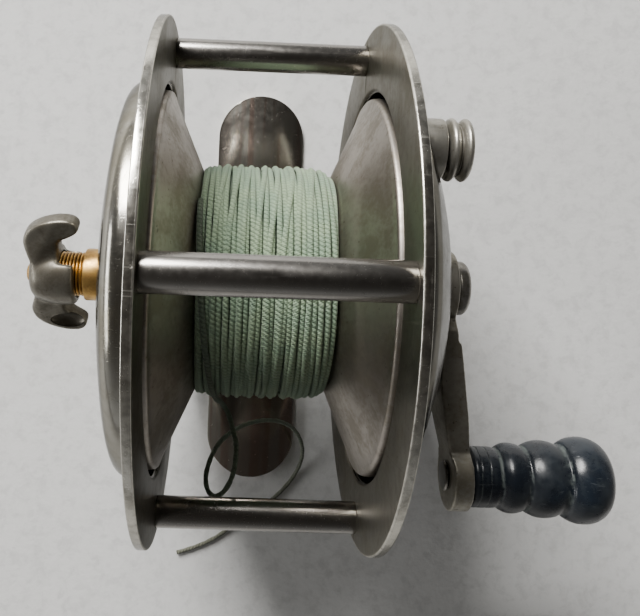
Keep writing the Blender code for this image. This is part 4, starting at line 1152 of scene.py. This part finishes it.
class REEL_OT_drag(bpy.types.Operator):
    """Make the brass drag boss, its pin and the wing nut"""
    bl_idname = "reel.drag"
    bl_label = "Drag boss, pin and wing nut"

    def execute(self, context):
        s = context.scene.reel_sizes
        top = s.half_gap + LEFT_TOP
        collar, barrel = top + 0.0036, top + 0.0080
        points = [(0.0039, top + 0.0003, 0.0001), (0.0039, collar, 0.0003),
                  (THREAD_R - 0.0003, collar + 0.00005, 0.0001)]
        x = collar + 0.0003
        while x < barrel - 0.0006:
            points += [(THREAD_R, x + 0.00012, 0.00006), (THREAD_R, x + 0.00020, 0.00006),
                       (THREAD_R - 0.00034, x + 0.0004, 0.00006)]
            x += 0.0005
        points += [(THREAD_R - 0.0004, barrel, 0.0001), (0.00185, barrel, 0.0001), (0.00185, top),
                   (0.0028, top), (0.0028, top - 0.0065), (0.0046, top - 0.0065, 0.0001),
                   (0.0050, top - 0.0061, 0.0001), (0.0050, top - 0.0025, 0.0003),
                   (0.0066, top - 0.0020, 0.0002), (0.0066, top - 0.0010, 0.0001),
                   (0.0033, top - 0.0010, 0.0001), (0.0033, top + 0.0003, 0.0001)]
        bm = turned(points, 0.00005, 2, 96, side=-1.0)
        finished_piece("boss_and_barrel", bm, finish_for("brass"), "frame",
                       ("drag_boss",))

        pin_r = 0.00155
        points = [(0.0, -top - 0.0123), (pin_r - 0.00045, -top - 0.0123, 0.0003),
                  (pin_r, -top - 0.0118, 0.0003), (pin_r, -top + 0.0014, 0.0002),
                  (pin_r - 0.00035, -top + 0.0017, 0.0001), (0.0, -top + 0.0017)]
        bm = turned(points, 0.0001, 3, 48, closed=False)
        finished_piece("drag_pin_bar", bm, finish_for("brass"), "drag_screw",
                       ("drag_pin",))

        nut0, nut1, nut_r = top + 0.0048, top + 0.0116, THREAD_R + 0.0013
        points = [(0.0, nut0), (nut_r - 0.0002, nut0, 0.0003), (nut_r, nut0 + 0.0006, 0.0004),
                  (nut_r, barrel, 0.002), (nut_r - 0.0007, nut1 - 0.0009, 0.001),
                  (nut_r - 0.0016, nut1, 0.0004), (0.0, nut1)]
        hub = turned(points, 0.0003, 4, 96, (0.0, 0.0), closed=False, side=-1.0)
        wings = []
        outline = [(0.0108, -0.0012), (0.0118, 0.0012), (0.0122, 0.0028), (0.0117, 0.0044),
                   (0.0103, 0.0056), (0.0086, 0.0063), (0.0067, 0.0067), (0.0052, 0.0066),
                   (0.0042, 0.0060), (0.0040, 0.0050), (0.0047, 0.0042), (0.0060, 0.0034),
                   (0.0069, 0.0022), (0.0072, 0.0008), (0.0072, -0.0012)]
        smooth = [(p.x, p.y) for p in flowing([(a, b, 0.0) for a, b in outline], 4)]
        for flip in (1.0, -1.0):
            wing = slab(smooth,
                        lambda a, b, h, flip=flip: (-top - a, flip * (THREAD_R + b), h - 0.0014),
                        0.0028)
            upright = [e for e in wing.edges if abs(e.verts[0].co.z - e.verts[1].co.z) > 1e-6]
            bmesh.ops.subdivide_edges(wing, edges=upright, cuts=6, use_grid_fill=False)
            for v in wing.verts:
                away = min(max((abs(v.co.y) - 0.0030) / 0.0042, 0.0), 1.0)
                v.co.z *= 1.0 + 0.9 * (1.0 - away) ** 2
            bmesh.ops.recalc_face_normals(wing, faces=wing.faces)
            wings.append(wing)
        nut = carved(hub, wings, "UNION")
        notch = block((0.0040, 0.0035, 0.0090), (-top - 0.0051, 0.00356, -0.00018),
                      Matrix.Rotation(math.radians(-37.0), 3, "X"))
        nut = softened(carved(nut, [notch]), 0.00017, 34, 0.5)
        cup = []
        for flip in (1.0, -1.0):
            scoop = bmesh.new()
            bmesh.ops.create_uvsphere(scoop, u_segments=40, v_segments=24, radius=1.0)
            bmesh.ops.scale(scoop, vec=(0.0027, 0.0014, 0.00105), verts=scoop.verts)
            bmesh.ops.translate(scoop, verts=scoop.verts,
                                vec=(-top - 0.0068, flip * 0.0078, -flip * 0.00135))
            cup.append(scoop)
        bore = turned_on_lathe([(0.0, -nut0 + 0.0008), (0.0036, -nut0 + 0.0008),
                                (0.0036, -barrel - 0.0013), (0.00185, -barrel - 0.0013),
                                (0.00185, -nut1 - 0.0009), (0.0, -nut1 - 0.0009)], 64,
                               closed=False)
        nut = carved(nut, [bore] + cup)
        bmesh.ops.rotate(nut, cent=(0, 0, 0), matrix=Matrix.Rotation(math.radians(37.0), 3, "X"),
                         verts=nut.verts)
        bmesh.ops.translate(nut, verts=nut.verts, vec=AXIS)
        finished_piece("wing_nut_casting", nut, finish_for("wing"), "wing_nut_body",
                       ("wing_nut",), 45.0)
        return {"FINISHED"}


class REEL_OT_click(bpy.types.Operator):
    """Make the click post and its ringed button"""
    bl_idname = "reel.click"
    bl_label = "Click button"

    def execute(self, context):
        s = context.scene.reel_sizes
        spot = (CLICK_AT.y, CLICK_AT.z)
        x0, x1 = s.half_gap + 0.0040, s.half_gap + 0.0078
        points = [(0.0019, x0, 0.0001), (0.0041, x0, 0.0002), (0.0041, x1, 0.0003),
                  (0.0019, x1, 0.0001)]
        bm = turned(points, 0.0002, 4, 96, spot)
        finished_piece("click_collar", bm, finish_for("click"), "frame",
                       ("click_post",))
        head = s.half_gap + 0.0082
        r = 0.0042
        points = [(0.0, head - 0.0051), (0.0016, head - 0.0051, 0.0002), (0.0016, head, 0.0001),
                  (r - 0.0009, head, 0.0002), (r - 0.0001, head + 0.0003, 0.0004),
                  (r + 0.0001, head + 0.0008, 0.0004), (r - 0.0004, head + 0.0013, 0.0003),
                  (r - 0.0008, head + 0.0015, 0.00012), (r - 0.0008, head + 0.0018, 0.00012),
                  (r - 0.0003, head + 0.0020, 0.0003), (r + 0.0001, head + 0.0025, 0.0004),
                  (r - 0.0002, head + 0.0030, 0.0004), (r - 0.0010, head + 0.0032, 0.0003),
                  (r - 0.0016, head + 0.0029, 0.0003), (0.0, head + 0.0031)]
        bm = turned(points, 0.0002, 4, 128, spot, closed=False)
        finished_piece("click_knob_head", bm, finish_for("click"), "click_knob",
                       ("click_button",))
        return {"FINISHED"}


class REEL_OT_crank(bpy.types.Operator):
    """Make the crank arm, its screw and the bearing behind it"""
    bl_idname = "reel.crank"
    bl_label = "Crank"

    def execute(self, context):
        s = context.scene.reel_sizes
        top = s.half_gap + RIGHT_TOP
        x0 = top + ARM_RISE
        throw = -KNOB_Y
        points = [(0.0028, top - 0.0057, 0.0001), (0.0046, top - 0.0057, 0.0001),
                  (0.0050, top - 0.0053, 0.0001), (0.0050, top - 0.0010, 0.0001),
                  (0.0039, top - 0.0010, 0.0001), (0.0039, top + 0.0003, 0.0001),
                  (0.0052, top + 0.0003, 0.0002), (0.0050, top + 0.0009, 0.0002),
                  (0.0028, top + 0.0009, 0.0001)]
        bm = turned(points, 0.0001, 3, 96)
        finished_piece("bearing_bush", bm, finish_for("brass"), "frame",
                       ("crank_bearing",))

        far = throw + 0.0057
        side_view = [(x0, 0.0065), (x0, -0.0060), (x0 - 0.0005, -0.36 * throw),
                     (x0 - 0.0004, -0.55 * throw), (x0 + 0.0006, -0.76 * throw),
                     (x0 + 0.0016, -throw + 0.0018), (x0 + 0.0016, -far), (x0 + 0.0044, -far),
                     (x0 + 0.0044, -throw + 0.0023), (x0 + 0.0040, -0.79137 * throw),
                     (x0 + 0.0036, -0.64748 * throw), (x0 + 0.0030, -0.44964 * throw),
                     (x0 + 0.0024, -0.28777 * throw), (x0 + 0.0020, -0.0080),
                     (x0 + 0.0017, -0.0055), (x0 + 0.0017, 0.0065)]
        body = slab(side_view, lambda a, b, h: (a, b, h - 0.007), 0.014)
        plan = []
        for k in range(41):
            a = math.radians(-52.0 + 284.0 * k / 40.0)
            plan.append((0.0055 * math.sin(a), 0.0055 * math.cos(a)))
        plan += [(-0.0062, -0.0047), (-0.30576 * throw, -0.0043), (-0.50360 * throw, -0.0040),
                 (-0.70144 * throw, -0.0040)]
        for k in range(41):
            a = math.radians(128.0 + 284.0 * k / 40.0)
            plan.append((0.0050 * math.sin(a) - throw, 0.0050 * math.cos(a)))
        plan += [(-0.70144 * throw, 0.0040), (-0.50360 * throw, 0.0040),
                 (-0.30576 * throw, 0.0043), (-0.0062, 0.0047)]
        shape = slab(plan, lambda a, b, h: (x0 - 0.0045 + h, a, b), 0.012)
        arm = softened(carved(body, [shape], "INTERSECT"), 0.00016, 8, 0.5)
        arm = carved(arm, [bar(0.0023, (x0 - 0.0045, 0, 0), (x0 + 0.0055, 0, 0)),
                           bar(0.0018, (x0 - 0.0045, -throw, 0), (x0 + 0.0075, -throw, 0))])
        bmesh.ops.translate(arm, verts=arm.verts, vec=AXIS)
        finished_piece("crank_forging", arm, finish_for("crank"), "spool",
                       ("crank_arm",), 45.0)

        start = x0 + 0.0020
        points = [(0.0, x0 - 0.0025), (0.0009, x0 - 0.0025, 0.0001), (0.0009, start, 0.00005),
                  (0.00385, start, 0.0002), (0.00405, start + 0.0003, 0.0002),
                  (0.00405, start + 0.0013, 0.0003), (0.0036, start + 0.0018, 0.0004),
                  (0.0030, start + 0.0020, 0.0006), (0.0, start + 0.0021)]
        bm = turned(points, 0.0001, 4, 96, closed=False)
        slot = block((0.0014, 0.0008, 0.0058), (start + 0.0022, 0.0, SPOOL_Z))
        bm = eased(carved(bm, [slot]), 0.00008, 2, 45.0)
        finished_piece("crank_hub_screw", bm, finish_for("screw"), "spool",
                       ("crank_screw",))
        return {"FINISHED"}


class REEL_OT_knob(bpy.types.Operator):
    """Make the ringed knob and the spindle it turns on"""
    bl_idname = "reel.knob"
    bl_label = "Knob"

    def execute(self, context):
        s = context.scene.reel_sizes
        x0 = s.half_gap + RIGHT_TOP + ARM_RISE
        k0, k1 = x0 + 0.0047, x0 + 0.0252
        spot = (KNOB_Y, SPOOL_Z)
        outline = [(0.00400, 0.0), (0.00432, 0.0003), (0.00437, 0.0008), (0.00428, 0.0010),
                   (0.00437, 0.0012), (0.00437, 0.0021), (0.00429, 0.0023), (0.00437, 0.0025),
                   (0.00436, 0.0034), (0.00420, 0.0040), (0.00455, 0.0045), (0.00495, 0.0053),
                   (0.00505, 0.0062), (0.00490, 0.0072), (0.00460, 0.0080), (0.00495, 0.0086),
                   (0.00540, 0.0097), (0.00555, 0.0109), (0.00540, 0.0122), (0.00495, 0.0136),
                   (0.00550, 0.0142), (0.00605, 0.0153), (0.00625, 0.0166), (0.00610, 0.0180),
                   (0.00545, 0.0193), (0.00450, 0.0201), (0.00340, 0.0205)]
        skin = [(p.x, k0 + p.y) for p in flowing([(a, b, 0.0) for a, b in outline], 5)]
        inner = [(0.0029, k1), (0.0029, k1 - 0.0017), (0.0018, k1 - 0.0017), (0.0018, k0)]
        bm = turned_on_lathe(skin + inner, 128, centre=spot)
        finished_piece("ringed_knob", bm, finish_for("knob"), "knob_body",
                       ("knob",), 40.0)
        points = [(0.0, x0 + 0.0010), (0.0020, x0 + 0.0010, 0.0002), (0.0022, x0 + 0.0013, 0.0001),
                  (0.0015, x0 + 0.0013, 0.00005), (0.0015, k1 - 0.0014, 0.00005),
                  (0.0025, k1 - 0.0014, 0.0001), (0.0026, k1 - 0.0009, 0.0002),
                  (0.0020, k1 - 0.0004, 0.0004), (0.0, k1 - 0.0002)]
        bm = turned(points, 0.0001, 3, 48, spot, closed=False)
        finished_piece("knob_rivet", bm, finish_for("rivet"), "spool",
                       ("knob_spindle",))
        return {"FINISHED"}


class REEL_OT_inner_works(bpy.types.Operator):
    """Give the remaining frame pieces their finishes"""
    bl_idname = "reel.inner_works"
    bl_label = "Inner works"

    def execute(self, context):
        wanted = {
            "foot_saddle": "plate", "foot_screw_1": "screw", "foot_screw_2": "screw",
            "drag_pad": "leather", "click_pawl": "shaft", "pawl_pivot": "brass",
            "spool_shaft": "shaft", "spool_arbor": "brass", "ratchet_wheel": "brass",
        }
        for node, kind in wanted.items():
            slots = frame["nodes"][node].material_slots
            if not slots:
                raise RuntimeError(f"{node} has no material slot")
            for slot in slots:
                slot.material = finish_for(kind)
        return {"FINISHED"}


class REEL_PT_workshop(bpy.types.Panel):
    """The reel's sizes, colours and pieces"""
    bl_idname = "REEL_PT_workshop"
    bl_label = "Fishing reel"
    bl_space_type = "VIEW_3D"
    bl_region_type = "UI"
    bl_category = "Reel"

    def draw(self, context):
        layout = self.layout
        for group in (context.scene.reel_sizes, context.scene.reel_colours):
            box = layout.box()
            for key in group.__annotations__:
                box.prop(group, key)
        for step in STEPS:
            layout.operator(step.bl_idname)


STEPS = (REEL_OT_stage, REEL_OT_free_line, REEL_OT_side_plates, REEL_OT_pillars, REEL_OT_foot,
         REEL_OT_flanges, REEL_OT_wound_line, REEL_OT_drag, REEL_OT_click, REEL_OT_crank,
         REEL_OT_knob, REEL_OT_inner_works)
CLASSES = (ReelSizes, ReelColours, *STEPS, REEL_PT_workshop)


def register():
    for cls in CLASSES:
        bpy.utils.register_class(cls)
    bpy.types.Scene.reel_sizes = bpy.props.PointerProperty(type=ReelSizes)
    bpy.types.Scene.reel_colours = bpy.props.PointerProperty(type=ReelColours)


def unregister():
    del bpy.types.Scene.reel_colours
    del bpy.types.Scene.reel_sizes
    for cls in reversed(CLASSES):
        bpy.utils.unregister_class(cls)


def main():
    """Makes the whole reel."""
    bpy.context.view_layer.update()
    register()
    bpy.ops.reel.stage()
    bpy.ops.reel.free_line()
    bpy.ops.reel.side_plates()
    bpy.ops.reel.pillars()
    bpy.ops.reel.foot()
    bpy.ops.reel.flanges()
    bpy.ops.reel.wound_line()
    bpy.ops.reel.drag()
    bpy.ops.reel.click()
    bpy.ops.reel.crank()
    bpy.ops.reel.knob()
    bpy.ops.reel.inner_works()


if __name__ == "__main__":
    main()
